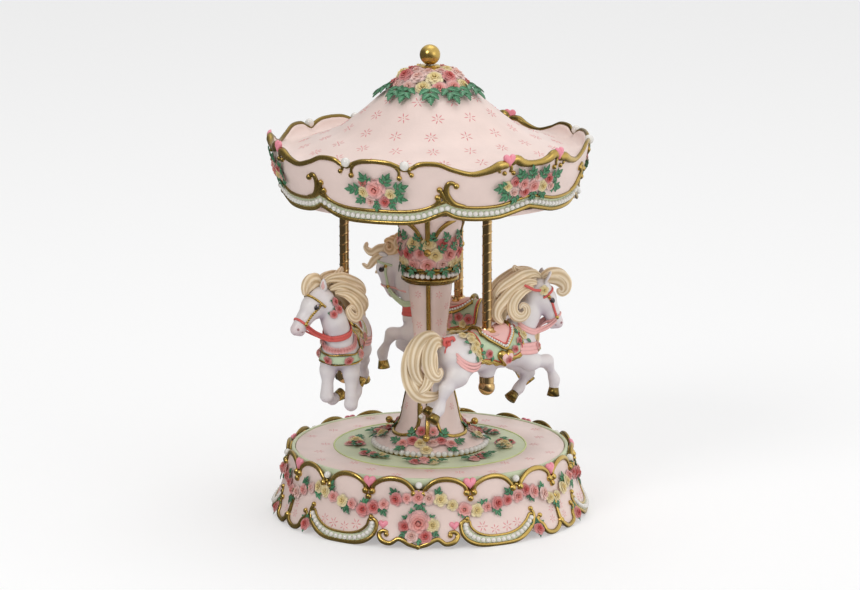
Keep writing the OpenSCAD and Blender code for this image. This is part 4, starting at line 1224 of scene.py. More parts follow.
def leg_bones(joints, radii):
    """Bones of a leg, with a knob at its knee and a slim cannon under it."""
    knee, ankle = np.array(joints[2], float), np.array(joints[3], float)
    slim = min(radii[2], radii[3]) * 0.78
    above = np.array(joints[1], float) * 0.28 + knee * 0.72
    chain = [*zip(joints[:2], radii[:2]), (above, radii[2] * 0.9), (knee, radii[2] * 1.05),
             (knee * 0.72 + ankle * 0.28, slim), (knee * 0.25 + ankle * 0.75, slim),
             *zip(joints[3:], radii[3:])]
    return [(*a, *b, 1.0) for a, b in zip(chain[:-1], chain[1:])]


def trunk(points):
    """Distance to a horse's barrel alone, for what lies on it."""
    return blend_distance(points, BODY_BONES)


class Horse:
    """One carousel horse in its own frame: +X forwards, -Y outwards, its pole on the Z axis."""

    def __init__(self, number, turn, head_turn, head, legs, forelock=()):
        self.number, self.head_turn, self.forelock = number, head_turn, list(forelock)
        self.stance = math.radians(POLE_ANGLES[number - 1] + turn)
        self.parts = {k: Mesh(GOLD_SIDE_SHADE_AND_WASH if k == "gold" else SIDE_SHADE) for k in HORSE_SLOTS}
        self.head, self.legs = head, legs
        neck = [self.swing(p, s) for p, s in zip(head["neck"], NECK_SHARES)]
        skull = self.skull = self.swung(head["skull"])
        bones = [(neck[0], 10.6, neck[1], 8.6, 1.16), (neck[1], 8.6, neck[2], 7.2, 1.16)]
        bones += [(skull[k], SKULL_RADII[k], skull[k + 1], SKULL_RADII[k + 1], 1.05)
                  for k in range(4)]
        bones += [(neck[2], 6.8, skull[0], 6.4, 1.1),
                  (skull[2], 2.6, self.swing(head["lip"]), 1.9, 1.0)]
        self.bones = BODY_BONES + bones + [bone for leg in legs for bone in leg_bones(*leg)]

    def distance(self, points):
        return blend_distance(points, self.bones)

    def swing(self, point, share=1.0):
        a = math.radians(self.head_turn * share)
        p = np.asarray(point, float) - NECK
        return np.array([p[0] * math.cos(a) - p[1] * math.sin(a),
                         p[0] * math.sin(a) + p[1] * math.cos(a), p[2]]) + NECK

    def swung(self, points, shares=None):
        shares = np.ones(len(points)) if shares is None else shares
        return np.array([self.swing(p, s) for p, s in zip(points, shares)])

    def spot(self, outside, inside, lift):
        """Where a line from outside meets the horse, lifted off it, and the spot's axes."""
        p, n = cast(self.distance, np.array([outside], float), np.array([inside], float))
        return p[0] + n[0] * lift, upright(n[0])

    def hide(self):
        """The body, with painted mauve shade in its hollows, underneath and down the legs, and a
        pink nose.
        """
        outer, step = (-44, 0.9) if self.head_turn else (-21, 0.85)
        verts, quads = surface_net(self.distance, (-62, outer, 68), (66, 21, 160), step)
        n = slope_of(self.distance, verts)
        # painted shade: mauve grey where the surface curves inwards
        hollow_shade = np.clip((2.4 - self.distance(verts + n * 2.4)) / 1.3, 0, 1)[:, None]
        low = np.clip((104 - verts[:, 2:]) / 40, 0, 1) * 0.35
        under = np.clip(0.1 - n[:, 2:], 0, 1)
        nose = np.clip(1 - np.linalg.norm(verts - self.skull[-1], axis=1) / 6, 0, 1)[:, None]
        tint = (1 - hollow_shade) * np.ones(3) + hollow_shade * np.array([0.58, 0.52, 0.62])
        # more painted shade, darker towards the legs and on faces that look down; the nose is pink
        # paint
        for share, loss in ((low, (0.16, 0.18, 0.14)), (under, (0.24, 0.28, 0.20)),
                            (nose, (0.0, 0.22, 0.20))):
            tint = tint * (1 - share * np.array(loss))
        self.parts["hide"].add(verts, [quads], tint)

    def head_details(self):
        """Eyes under their brows, nostrils, ears and the line of the mouth."""
        hide, head = self.parts["hide"], self.head
        for side in (-1, 1):
            def out_at(point, far=14):
                start = self.swing(np.array(point) + [0, far * side, 0])
                p, n = cast(self.distance, start[None], self.swing(point)[None])
                return p[0], n[0]
            p, n = out_at(head["eye"])
            shape = BALL[0] * [2.3, 1.2, 1.8]
            hide.add(p + shape @ self.turn_rows(n), BALL[1], WHITE, 1)
            p2, n2 = out_at(np.array(head["eye"]) + [-0.5, 0, 1.5])
            brow = spline([p2 + [-1.6, 0, -0.9], p2 + n2 * 0.4, p2 + [1.9, 0, -0.6]], 9)
            sweep(hide, brow, n2, 0.55, tint=(0.70, 0.62, 0.66))
            p, n = out_at(head["nostril"])
            ball(hide, p - n * 0.1, 0.75, (0.45, 0.22, 0.24))
            root, tip = head["ear"]
            a = self.swing((root[0], 4.2 * side, root[1]))
            b = self.swing((tip[0], 6.6 * side, tip[1]))
            line = spline([a, (a * 0.5 + b * 0.5) + unit(b - a)[[2, 1, 0]] * 0.5, b], 10)
            face = self.swing(NECK + [1, 0.7 * side, 0.1]) - NECK
            sweep(hide, line, face, np.interp(np.linspace(0, 1, 10), [0, 0.4, 0.8, 1],
                                              [1.9, 2.6, 1.6, 0.3]), 1.0)
            sweep(hide, line[1:-1] + unit(face) * 0.55, face,
                  np.interp(np.linspace(0, 1, 8), [0, 0.4, 1], [1.0, 1.5, 0.3]), 0.6,
                  tint=(0.98, 0.62, 0.60))
        chin, tip, lip = (np.array(q) for q in (*head["skull"][3:5], head["lip"]))
        mouth = np.array([chin * 0.3 + lip * 0.7, tip * 0.5 + lip * 0.5])
        for side in (-1, 1):
            p, n = cast(self.distance, self.swung(mouth + [0, 12 * side, 0]), self.swung(mouth))
            sweep(hide, spline([p[0], (p[0] + p[1]) / 2, p[1]], 8), n[0], 0.35, 0.25,
                  tint=(0.50, 0.28, 0.30))

    def turn_rows(self, n):
        """Axes of an eye that looks along n: its long way runs down the face."""
        forward = self.swing(NECK + [1, 0, -0.6]) - NECK
        y = unit(np.asarray(n))
        x = unit(forward - y * (forward @ y))
        return np.stack([x, y, np.cross(x, y)])

    def hooves(self):
        """Gilt hooves, each with a darker sole."""
        for joints, _ in self.legs:
            a, b = np.array(joints[-2:], float)
            run = unit(b - a)
            for reach, wide, tint in (([-1.2, 1.4, 4.2], [3.0, 3.5, 4.0], WHITE),
                                      ([4.1, 4.5], [3.5, 3.3], (0.75, 0.65, 0.5))):
                sweep(self.parts["gold"], b + run * np.array(reach)[:, None], (0, 1, 0.01), wide,
                      sides=16, tint=tint, round_ends=False)

    # ---- what lies on the barrel: x is the place along it, and phi the angle from the top
    def on_trunk(self, x, phi, lift=0.0):
        x, phi = np.broadcast_arrays(np.asarray(x, float), np.radians(np.asarray(phi, float)))
        far = np.stack([x, -30 * np.sin(phi), BELLY_Z + 30 * np.cos(phi)], -1)
        axis = np.stack([x, 0 * x, np.full(x.shape, BELLY_Z)], -1)
        shape = far.shape
        p, n = cast(trunk, far.reshape(-1, 3), axis.reshape(-1, 3))
        return (p + n * lift).reshape(shape), n.reshape(shape)

    def patch(self, mesh, outline, lift, thick, tint, rows, cols):
        """A cloth over the back on both sides. outline gives phi at its edge for each x."""
        outline = np.asarray(outline, float)
        x = np.linspace(outline[0, 0], outline[-1, 0], rows)[:, None] * np.ones((1, cols))
        edge = np.interp(x[:, 0], outline[:, 0], outline[:, 1])[:, None]
        phi = np.linspace(-1, 1, cols)[None] * edge
        front, back = (self.on_trunk(x, phi, up)[0] for up in (lift, lift - thick))
        mesh.add(*shell_patch(front, back, rows, cols), tint)

    def trim(self, mesh, outline, lift, wide, tint=WHITE, inset=0.0):
        """A bar along the edge of a cloth on each side, inset by some degrees."""
        line = spline(np.asarray(outline, float) - [0, inset], 60)
        for side in (1, -1):
            p, n = self.on_trunk(line[:, 0], line[:, 1] * side, lift)
            sweep(mesh, p, n, wide, tint=tint)

    def beads(self, mesh, outline, lift, radius, inset, gap=2.1):
        """Pearls along the edge of a cloth on each side. gap is in radii."""
        line = spline(np.asarray(outline, float) - [0, inset], 80)
        for side in (1, -1):
            p, _ = self.on_trunk(line[:, 0], line[:, 1] * side, lift)
            run = distances(p)
            for d in np.arange(0, run[-1], gap * radius):
                ball(mesh, [np.interp(d, run, p[:, k]) for k in range(3)], radius)

    def trunk_spot(self, x, phi, lift):
        p, n = self.on_trunk([x], [phi], lift)
        return p[0], upright(n[0])

    def garden(self, side, roses, leaves):
        """Roses and leaves on one side of the blanket: x, phi, then size and tint or spin."""
        for x, phi, size, tint in roses:
            wild_rose(self.parts["rose"], *self.trunk_spot(x, phi * side, 1.0), size, tint, 6)
        for x, phi, spin in leaves:
            leaf(self.parts["leaf"], *self.trunk_spot(x, phi * side, 1.3), 3.8, spin, tilt=8)

    def belt(self, around, inner, lift, wide, tint, high=0.5, mesh="cloth", strands=1, gap=1.4):
        """Ribbons side by side, laid on the horse from points round it towards an inner one."""
        for s in range(strands):
            shift = [0, 0, (s - (strands - 1) / 2) * gap]
            pts = np.asarray(around, float) + shift
            p, n = cast(self.distance, pts, np.asarray(inner, float) + shift)
            line = spline(p + n * lift, max(24, len(pts) * 5))
            normal = spline(n, len(line)) if len(n) > 3 else n[0]
            sweep(self.parts[mesh], line, normal, wide, high, tint=tint)

    def place(self, verts):
        a = self.stance
        pole = POLES[self.number - 1]
        turn = np.array([[math.cos(a), -math.sin(a), 0], [math.sin(a), math.cos(a), 0], [0, 0, 1]])
        return verts @ turn.T + [pole[0], pole[1], 0]

    def build(self):
        body = f"horse_{self.number}"
        for key, mesh in self.parts.items():
            mesh.verts = [self.place(v) for v in mesh.verts]
            if key == "hide":
                mesh.build(f"{body}_{key}", body, "horse_resin", body, more=(EYE,))
            else:
                mesh.build(f"{body}_{key}", body, HORSE_SLOTS[key])


UP_HEAD = {"neck": [(23, 0, 113), (32, 0, 130), (37.5, 0, 142)],
           "skull": [(40, 0, 145), (43.6, 0, 138.4), (48, 0, 130.4), (51, 0, 125),
                     (52.6, 0, 122.8)],
           "lip": (48.0, 0, 121.6), "eye": (45.4, 0, 139.2), "nostril": (53.4, 0, 123.6),
           "ear": ((41.0, 149.4), (44.6, 157.6))}
TUCKED_HEAD = {"neck": [(24, 0, 113), (34, 0, 132), (39, 0, 144)],
               "skull": [(43, 0, 147), (48.4, 0, 141), (47.6, 0, 132.6), (45.4, 0, 127),
                         (44.4, 0, 124.8)],
               "lip": (41.4, 0, 126.0), "eye": (50.0, 0, 141.4), "nostril": (45.6, 0, 124.6),
               "ear": ((46.6, 149.6), (52.4, 151.6))}


def pitched(head, angle):
    """The same head with its nose raised about the poll."""
    a = math.radians(angle)
    poll = np.array(head["skull"][0], float)

    def lift(p):
        x, z = p[0] - poll[0], p[-1] - poll[2]
        x, z = x * math.cos(a) - z * math.sin(a), x * math.sin(a) + z * math.cos(a)
        return (poll[0] + x, 0, poll[2] + z) if len(p) == 3 else (poll[0] + x, poll[2] + z)

    return {"neck": head["neck"], "skull": [lift(p) for p in head["skull"]],
            **{k: lift(head[k]) for k in ("lip", "eye", "nostril")},
            "ear": tuple(lift(p) for p in head["ear"])}


HIND = ([(-24, -5, 110), (-31, -7.4, 101), (-40, -8, 94.4), (-45.6, -8, 82), (-48.6, -8, 78.4)],
        [9.4, 6.9, 3.7, 2.8, 2.9])
FAR_HIND = ([(-22, 5, 109), (-26, 7.4, 98.5), (-31, 8, 90.4), (-36.4, 8, 81), (-38.6, 8, 78.6)],
            [9.0, 6.3, 3.6, 2.8, 2.9])
RAISED = ([(22, -5, 107), (29, -7.8, 101.4), (43, -8, 99.4), (49.4, -8, 86.4), (48.8, -8, 80.6)],
          [8.2, 5.6, 3.5, 2.8, 2.9])
FOLDED = ([(22, 5, 106), (28.4, 7.8, 99.6), (41.6, 8, 89.8), (33.6, 8, 80.4), (29.6, 8, 77.4)],
          [8.0, 5.6, 3.5, 2.8, 2.9])


def tail(horse, tint, spread=1.0):
    mesh = horse.parts["mane"]
    for path, wide in (
            ([(-34, 0, 118), (-40, 0, 122.4), (-47, -1, 125.4), (-55, -2, 123.4), (-59.5, -2, 116),
              (-59.5, -2, 107), (-55, -2, 100), (-49.6, -2, 97)], [3.0, 4.6, 5.0, 4.8, 3.6, 2.4]),
            ([(-38, -2, 121), (-45.6, -4, 123.4), (-51, -5.5, 118.4), (-52, -6, 110.6),
              (-49, -6, 104), (-45, -6, 101.8), (-42.4, -6, 104.4), (-43.6, -6, 107.6)],
             [3.0, 4.4, 4.2, 3.4, 2.0]),
            ([(-38, 2, 121), (-45.6, 4, 123.4), (-52, 5, 118), (-54, 5.4, 110), (-51, 5, 103),
              (-46, 5, 100.4), (-43, 5, 102.6)], [3.0, 4.4, 4.2, 3.2, 2.0]),
            ([(-40, 1, 122), (-50, 1, 125.6), (-58.6, 1, 120), (-62.4, 1, 110), (-61.4, 0, 99.6),
              (-56, -1, 92), (-48, -1.6, 89.4), (-40.6, -2, 90), (-37.6, -2, 92.4)],
             [3.0, 4.4, 4.6, 4.4, 4.0, 2.0]),
            ([(-46, -3.4, 119), (-48, -4.4, 110), (-50, -4.6, 102), (-53.4, -4, 96.4),
              (-57, -3, 94)], [3.4, 4.0, 3.6, 2.4])):
        path = [(-34 + (x + 34) * spread, y, z) for x, y, z in path]
        lock(mesh, path, wide, tint=tint, split=0.5)


def mane_up(horse, tint):
    """Long mane thrown back from the ears, with a curl on each side and a curled forelock."""
    mesh = horse.parts["mane"]
    crest = [(13, 0, 127), (12, 0, 136), (18, 0, 146), (28, 0, 152.6), (38, 0, 153.4)]
    parts = [(crest, [4.0, 6.4, 6.6, 6.2, 4.4]),
             ([(30, 0, 155), (25, -0.6, 157.4), (21.6, -1, 162)], [3.4, 2.8, 1.2]),
             (horse.forelock, [3.0, 4.6, 4.8, 4.2, 3.0, 1.8])]
    for s in (-1, 1):
        parts += [
            ([(40, 1.6 * s, 153.4), (35, 3.2 * s, 156.4), (27, 4.6 * s, 156), (20, 5 * s, 153),
              (13, 4.4 * s, 149.6), (9, 3.6 * s, 145.6), (10.4, 3.6 * s, 142.6)],
             [1.8, 2.8, 3.6, 3.6, 3.2, 1.8]),
            ([(36, 5 * s, 150.6), (29, 6.6 * s, 151.6), (20, 7 * s, 147), (13, 6.6 * s, 141),
              (8.6, 5 * s, 136), (8, 4 * s, 131), (12, 3.8 * s, 127)], [2.0, 3.4, 3.8, 3.6, 2.0]),
            ([(33, 6.8 * s, 148.4), (25, 8.2 * s, 146.6), (18.6, 8.8 * s, 140.6),
              (17, 9.4 * s, 134.6), (20.6, 10 * s, 131), (25.4, 10 * s, 132.6),
              (26, 10 * s, 137.4), (22.6, 10 * s, 138.6), (21.4, 10.2 * s, 136)],
             [2.0, 3.0, 3.0, 2.6, 1.4])]
    for path, wide in parts:
        path = horse.swung(path, np.clip((np.array(path)[:, 2] - 118) / 22, 0.2, 1))
        normal = horse.swing(NECK + [0, -1, 0.01]) - NECK
        lock(mesh, path, wide, tint=tint, normal=normal, split=0.5)


def mane_curled(horse, tint):
    """Upright mane in heavy curls over an arched neck, with forelocks that point forwards."""
    mesh = horse.parts["mane"]
    parts = [([(14, 0, 128), (14, 0, 138), (20, 0, 147), (30, 0, 154), (40, 0, 156)],
              [4.0, 6.4, 6.6, 6.4, 5.0], BROWN),
             ([(46, 0, 154), (54, 0, 153), (60, -0.6, 150.4), (64, -1, 153), (63, -1, 157)],
              [3.2, 3.2, 2.4, 1.0], CREAM),
             ([(50, 0, 150), (57, 1, 146), (62, 1, 141), (66, 1, 143)], [2.8, 2.8, 2.0, 0.9],
              CREAM),
             ([(48, 0, 147), (54, -2, 140), (58, -2, 136.4)], [2.4, 2.2, 0.9], CREAM),
             ([(24, 0, 154), (20, 0, 162), (26, 0, 167), (33, 0, 166)], [5.0, 4.4, 3.0, 1.2],
              BROWN)]
    for s in (-1, 1):
        for x, z, r in ((45, 156, 4.6), (37.6, 159.6, 5.0), (29, 158, 5.0), (20, 150, 4.6),
                        (14, 140, 4.2)):
            ring = [(x + r * math.cos(a) * (1 - a / 16), (3.4 + a * 0.35) * s,
                     z + r * math.sin(a) * (1 - a / 16)) for a in np.linspace(0.4, 7.6, 12)]
            parts.append((ring, [1.6, 2.8, 2.6, 1.4], tint))
    for path, wide, colour in parts:
        lock(mesh, path, wide, tint=colour)


def bow(horse, tint):
    """A ribbon bow at the root of the tail: two loops, a knot and two ends."""
    mesh, knot = horse.parts["cloth"], np.array([-35.0, -4.0, 121.0])
    for s in (-1, 1):
        loop = [(0, 0, 0), (-s, -1, 2.6), (3.4 * s, -1.4, 3.4), (4 * s, -1.2, 0.6), (0, 0, 0)]
        sweep(mesh, spline(knot + loop, 24), (0.2, -1, 0.2), 1.3, 0.45, tint=tint)
        end = [(0, 0, 0), (1.6 * s, -0.6, -3), (3 * s, -0.8, -5.6)]
        sweep(mesh, spline(knot + end, 10), (0.2, -1, 0), np.linspace(1.0, 1.45, 10), 0.4,
              tint=tint)
    ball(mesh, knot - [0, 0.8, 0], 1.5, tint)


def tail_ring(horse, tint):
    ring = [(-36.0 + 1.2 * math.cos(a), 4.3 * math.sin(a), 119.0 + 4.3 * math.cos(a))
            for a in np.linspace(0, 2 * math.pi, 20, endpoint=False)]
    sweep(horse.parts["cloth"], ring, (-0.7, 0, 0.7), 1.0, 1.2, tint=tint, closed=True)


def saddle(horse, cloth_edge, seat_edge, cloth_tint, seat_tint, trim_tint):
    """Blanket, seat and their borders. Edges are lists of (x, phi)."""
    p = horse.parts
    horse.patch(p["cloth"], cloth_edge, 0.9, 0.9, cloth_tint, rows=26, cols=40)
    edge = np.asarray(cloth_edge, float)
    horse.trim(p["cloth"], edge, 1.1, 0.55, trim_tint, inset=4)
    horse.trim(p["gold"], edge, 1.0, 1.1)
    for part in (edge[:4], edge[-4:]):
        fold_line = spline(part, 40)
        fold_line[:, 1] += 5 + 2.4 * np.sin(np.linspace(0, 6 * math.pi, 40))
        horse.trim(p["gold"], fold_line, 0.7, 1.5)
    for x, reach in edge[[0, -1]]:
        hoop = np.linspace(-reach, reach, 30)
        points, n = horse.on_trunk(np.full(30, x), hoop, 1.0)
        sweep(p["gold"], points, n, 0.7)
        points, n = horse.on_trunk(np.full(30, x - math.copysign(1.4, x)), hoop, 1.2)
        sweep(p["cloth"], points, n, 0.5, tint=trim_tint)
    horse.patch(p["cloth"], seat_edge, 2.2, 1.6, seat_tint, rows=18, cols=30)
    horse.trim(p["gold"], seat_edge, 2.2, 0.95, inset=-2)
    horse.beads(p["pearl"], seat_edge, 3.0, 0.85, inset=5)
    horse.trim(p["cloth"], seat_edge, 2.6, 0.55, RED, inset=12)
    for x, size in ((seat_edge[0][0] + 0.5, 1.0), (seat_edge[-1][0] - 0.5, 1.2)):
        ridge = [(x, -7, 122.4), (x, -3.6, 125.2 + size), (x, 0, 126 + size),
                 (x, 3.6, 125.2 + size), (x, 7, 122.4)]
        sweep(p["gold"], spline(ridge, 24), (1, 0, 0.2), 1.3, 1.4)
    seat_top = [(8.0 * math.cos(a), 7.0 * math.sin(a), 121.9) for a in
                np.linspace(0, 2 * math.pi, 28, endpoint=False)]
    sweep(p["cloth"], seat_top, (0, 0, 1), 1.6, 1.1, tint=seat_tint, closed=True)


def reins(horse, bit, side, tint):
    """Two reins from the bit back round the neck. The inner ones cross under a far-turned head."""
    crossing = horse.head_turn < -30 and side > 0
    share = np.linspace(0, 1, 8)
    angles = np.radians(np.linspace(-35 if crossing else 45, 128, 8)) * side
    z = 120.5 + 6.5 * share**2
    around = np.stack([28 + 22 * np.cos(angles), 22 * np.sin(angles), z], 1)
    p, n = cast(horse.distance, around, np.stack([28 - 4 * share, 0 * z, z], 1))
    path = np.vstack([bit, (bit * 0.6 + p[0] * 0.4) - [0, 0, 1.6], p + n * 0.5])
    facing = spline(np.vstack([n[:1], n[:1], n]), 44)
    for drop in (0.0, -1.7):
        sweep(horse.parts["cloth"], spline(path + [0, 0, drop], 44), facing, 1.15, 0.6, tint=tint)


def bridle(horse, brow_tint, nose_tint, rein_tint, gold_beads=False):
    """Brow band, cheek strap, noseband and the reins back along the neck."""
    gold, bead = horse.parts["gold"], 0.85
    poll, cheek, mid, muzzle = [np.array(q, float) for q in horse.head["skull"][:4]]
    face = unit(muzzle - poll)
    across = np.array([face[2], 0, -face[0]])      # from the forehead towards the throat

    def hoop(centre, phis):
        return horse.swung([centre + (across * math.cos(a) + np.array([0, 1.0, 0]) * math.sin(a))
                            * 15 for a in np.radians(phis)])

    nose = mid * 0.45 + muzzle * 0.55
    horse.belt(hoop(nose, np.linspace(-180, 180, 25)), horse.swing(nose), 0.25, 0.8, nose_tint)
    if gold_beads:
        brow = cheek * 0.55 + poll * 0.45
        p, n = cast(horse.distance, hoop(brow, np.linspace(80, 280, 25)), horse.swing(brow))
        for q in spline(p + n * 0.3, 25):
            ball(gold, q, bead)
    else:
        brow = cheek * 0.4 + poll * 0.6
        horse.belt(hoop(brow, np.linspace(70, 290, 17)), horse.swing(brow), 0.25, 0.8, brow_tint)
    start, end = poll * 0.4 + cheek * 0.6 - across, mid * 0.5 + muzzle * 0.5
    inner = np.array([start * (1 - f) + end * f for f in np.linspace(0, 1, 7)])
    bulge = np.array([across * 1.2 * math.sin(f * 3.1) for f in np.linspace(0, 1, 7)])
    for side in (-1, 1):
        p, n = cast(horse.distance, horse.swung(inner - bulge + [0, 16 * side, 0]),
                    horse.swung(inner))
        line = spline(p + n * 0.3, 24)
        if gold_beads:
            for q in line[::2]:
                ball(gold, q, bead)
        else:
            sweep(horse.parts["cloth"], line, n[3], 0.85, 0.5, tint=brow_tint)
        bit = line[-1] + n[-1] * 0.4
        ball(gold, bit, 1.3)
        ball(gold, line[0] + n[0] * 0.3, 1.2)
        reins(horse, bit, side, rein_tint)


def before_chest(a, z):
    """A point in front of the chest, at an angle round it."""
    return 24 + 26 * math.cos(a), 26 * math.sin(a), z


def chest_band(horse, z, tint, wide, strands=1, gap=1.6, lift=0.35):
    around = [before_chest(a, z + 3.0 * (1 - math.cos(a)))
              for a in np.radians(np.linspace(-118, 118, 21))]
    horse.belt(around, (22, 0, z), lift, wide, tint, strands=strands, gap=gap)


def rump_ribbon(horse, tint):
    for s in (-1, 1):
        pts = [(x, 26 * s, z) for x, z in ((-34, 114), (-31, 110), (-26, 107), (-20, 106),
                                           (-13, 106.6))]
        for k in range(3):
            shift = np.array([0, 0, (k - 1) * 2.1])
            p, n = cast(horse.distance, np.array(pts) + shift,
                        np.array([(x, 0, z) for x, _, z in pts]) + shift)
            sweep(horse.parts["cloth"], spline(p + n * 0.3, 30), spline(n, 30), 0.95, 0.5,
                  tint=tint)


def dress(h, mane, mane_tint, tail_tint, ribbon, cloth, seat, tints, straps, tail_spread=1.0):
    """Body, hair and tack, which all three horses have."""
    h.hide()
    h.head_details()
    h.hooves()
    mane(h, mane_tint)
    tail(h, tail_tint, tail_spread)
    tail_ring(h, ribbon)
    bow(h, ribbon)
    saddle(h, cloth, seat, *tints)
    rump_ribbon(h, SOFT_PINK)
    bridle(h, *straps)


def horse_one():
    """Blonde, with a heart locket on its blanket and a flower behind the ear."""
    h = Horse(1, 0, -18, UP_HEAD, [HIND, FAR_HIND, RAISED, FOLDED], CURLED_FORELOCK)
    dress(h, mane_up, BLONDE, BLONDE, RED,
          [(-15, 96), (-11, 104), (-4, 112), (4, 126), (9, 112), (14, 108), (20, 92)],
          [(-10, 22), (-7, 40), (0, 62), (5, 74), (9, 60), (13, 40), (15, 24)],
          (BORDER_GREEN, (0.94, 0.56, 0.52), RED), (RED, SOFT_PINK, SOFT_PINK))
    chest_band(h, 109.5, SOFT_PINK, 1.5, strands=3, gap=2.2)
    roses, leaves = h.parts["rose"], h.parts["leaf"]
    for s in (1, -1):
        h.garden(s, [(-18, 24, 2.6, ROSE_YELLOW), (-20, 36, 2.7, ROSE_YELLOW),
                     (-18, 50, 2.9, ROSE_YELLOW), (-21, 62, 2.5, ROSE_YELLOW),
                     (-18.4, 74, 2.6, ROSE_YELLOW), (-17, 92, 2.0, ROSE_YELLOW),
                     (-24, 20, 2.4, ROSE_YELLOW), (20, 28, 2.6, ROSE_YELLOW),
                     (22, 44, 2.9, ROSE_YELLOW), (17, 62, 2.2, ROSE_CORAL),
                     (-8, 84, 2.4, ROSE_CORAL), (13, 84, 2.2, ROSE_CORAL)],
                 [(-24, 66, 200), (-15.4, 60, 20), (-23, 44, 160), (-15, 82, -60), (-20, 84, 250),
                  (24, 60, -40), (18, 40, 120), (-5, 92, 250), (-11, 78, 170), (15, 74, 40),
                  (20, 60, 200)])
        heart(h.parts["gold"], *h.trunk_spot(5, 106 * s, 1.6), 6.2)
        heart(h.parts["cloth"], *h.trunk_spot(5, 106 * s, 2.8), 5.0, (0.95, 0.62, 0.58))
        rose(roses, *h.trunk_spot(5, 106 * s, 5.0), 2.2, ROSE_CORAL)
        for k, (x, y, z) in enumerate([(43.4, 19.2, 111), (46.2, 14.4, 109), (50.4, 8, 108),
                                       (51.8, 0.16, 107.6)]):
            rose(roses, *h.spot((x, y * s, z), (24, 0, z), 0.6), 2.2, ROSE_CYCLE[k * 2 % 7], 40 * k)
    for s in (-1, 1):
        outside, inside = h.swung([(39.4, 20 * s, 146), (39.4, 0, 146)])
        rose(roses, *h.spot(outside, inside, 0.6), 2.8, ROSE_YELLOW)
        leaf(leaves, *h.spot(outside, inside, 0.5), 3.6, 270)
        ribbon = [(37, 9.4 * s, 146.6), (32, 10.2 * s, 147.4), (28, 10.4 * s, 149.6),
                  (25, 10 * s, 151)]
        sweep(h.parts["cloth"], spline(h.swung(ribbon), 20), (0, s, 0.1), 0.9, 0.5, tint=RED)
    h.build()


def horse_two():
    """Brown curls and a tucked head; its legs are the first horse's, mirrored."""
    legs = [([(x, -y, z) for x, y, z in joints], radii)
            for joints, radii in (HIND, FAR_HIND, RAISED, FOLDED)]
    h = Horse(2, 0, 0, TUCKED_HEAD, legs)
    dress(h, mane_curled, (0.92, 0.76, 0.56), (0.95, 0.84, 0.68), SOFT_PINK,
          [(-16, 92), (-10, 98), (-2, 110), (4, 116), (10, 108), (15, 98), (20, 88)],
          [(-11, 24), (-6, 44), (0, 56), (6, 60), (11, 44), (15, 26)],
          (BORDER_GREEN, (0.80, 0.50, 0.42), RED), (BORDER_GREEN, SOFT_PINK, BORDER_GREEN),
          tail_spread=0.55)
    chest_band(h, 116, RED, 1.5, strands=4, gap=2.0)
    for s in (1, -1):
        h.garden(s, [(-11, 76, 3.0, ROSE_CORAL), (-4, 72, 2.6, ROSE_CORAL),
                     (3, 74, 3.0, ROSE_PINK), (11, 72, 2.6, ROSE_CORAL),
                     (-7, 92, 2.4, ROSE_YELLOW), (4, 98, 2.6, ROSE_PINK)],
                 [(-8, 68, 30), (-13, 88, 200), (0, 84, -40), (7, 70, 60), (8, 88, -60),
                  (14, 80, 20)])
    h.build()


def horse_three():
    """Cream, with gold beads on its bridle and a flowered chest band."""
    near = ([(23, -5, 106), (28, -7.4, 98), (31.6, -7.8, 82), (25.6, -5, 78.4), (22.6, -2.4, 79.6)],
            [8.0, 4.7, 3.4, 2.7, 2.8])
    far = ([(23, 5, 105), (29, 7.2, 96), (34, 7.4, 77.6), (27.6, 10, 84), (25.6, 11.4, 88.6)],
           [8.0, 4.7, 3.4, 2.7, 2.8])
    h = Horse(3, -15, -48, pitched(UP_HEAD, 15), [HIND, FAR_HIND, near, far], SMOOTH_FORELOCK)
    dress(h, mane_up, CREAM, CREAM, SOFT_PINK,
          [(-16, 94), (-10, 100), (-2, 108), (5, 120), (10, 108), (15, 100), (20, 90)],
          [(-11, 24), (-6, 44), (0, 58), (6, 62), (11, 44), (15, 26)],
          ((0.86, 0.80, 0.60), (0.84, 0.62, 0.48), BORDER_GREEN), (RED, RED, RED, True))
    chest_band(h, 106.0, BORDER_GREEN, 2.9, lift=0.4)
    chest_band(h, 109.2, WHITE, 0.1)
    roses, leaves = h.parts["rose"], h.parts["leaf"]
    arc = np.radians(np.linspace(-112, 112, 33))
    for z in (109.2, 102.8):
        around = [before_chest(a, z + 3 * (1 - math.cos(a)) + 0.5 * math.sin(6 * a)) for a in arc]
        h.belt(around, (22, 0, z), 0.5, 0.6, WHITE, high=0.6, mesh="gold")
    for k, a in enumerate(arc[4:-4]):
        z = 112.0 + 4.4 * (1 - math.cos(a)) * 1.6
        rose(roses, *h.spot(before_chest(a, z), (22, 0, z), 0.3), 1.7, (0.94, 0.45, 0.42), 50 * k)
    for a, tint in ((-0.45, ROSE_CORAL), (0.45, ROSE_CORAL), (-1.25, ROSE_PINK), (1.25, ROSE_PINK)):
        z = 106.0 + 3 * (1 - math.cos(a))
        rose(roses, *h.spot(before_chest(a, z), (22, 0, z), 0.8), 2.7, tint)
    for s in (1, -1):
        h.garden(s, [(17, 46, 2.6, ROSE_YELLOW), (15, 62, 2.4, ROSE_YELLOW),
                     (18, 76, 2.6, ROSE_BLUSH), (12, 88, 2.8, ROSE_CORAL),
                     (4, 96, 2.6, ROSE_YELLOW), (-6, 84, 2.4, ROSE_PINK),
                     (9, 104, 2.4, ROSE_CORAL)],
                 [(16, 54, 30), (13, 74, 200), (19, 86, -40), (7, 90, 60), (-1, 92, -60),
                  (15, 96, 20)])
        for x, z, size in ((35, 143, 2.4), (33, 138, 2.6), (36.6, 135.6, 2.3)):
            outside, inside = h.swung([(x, 20 * s, z), (x, 0, z)])
            rose(roses, *h.spot(outside, inside, 0.5), size, ROSE_CORAL)
            leaf(leaves, *h.spot(outside, inside, 0.4), 3.8, 300 - z)
    h.build()


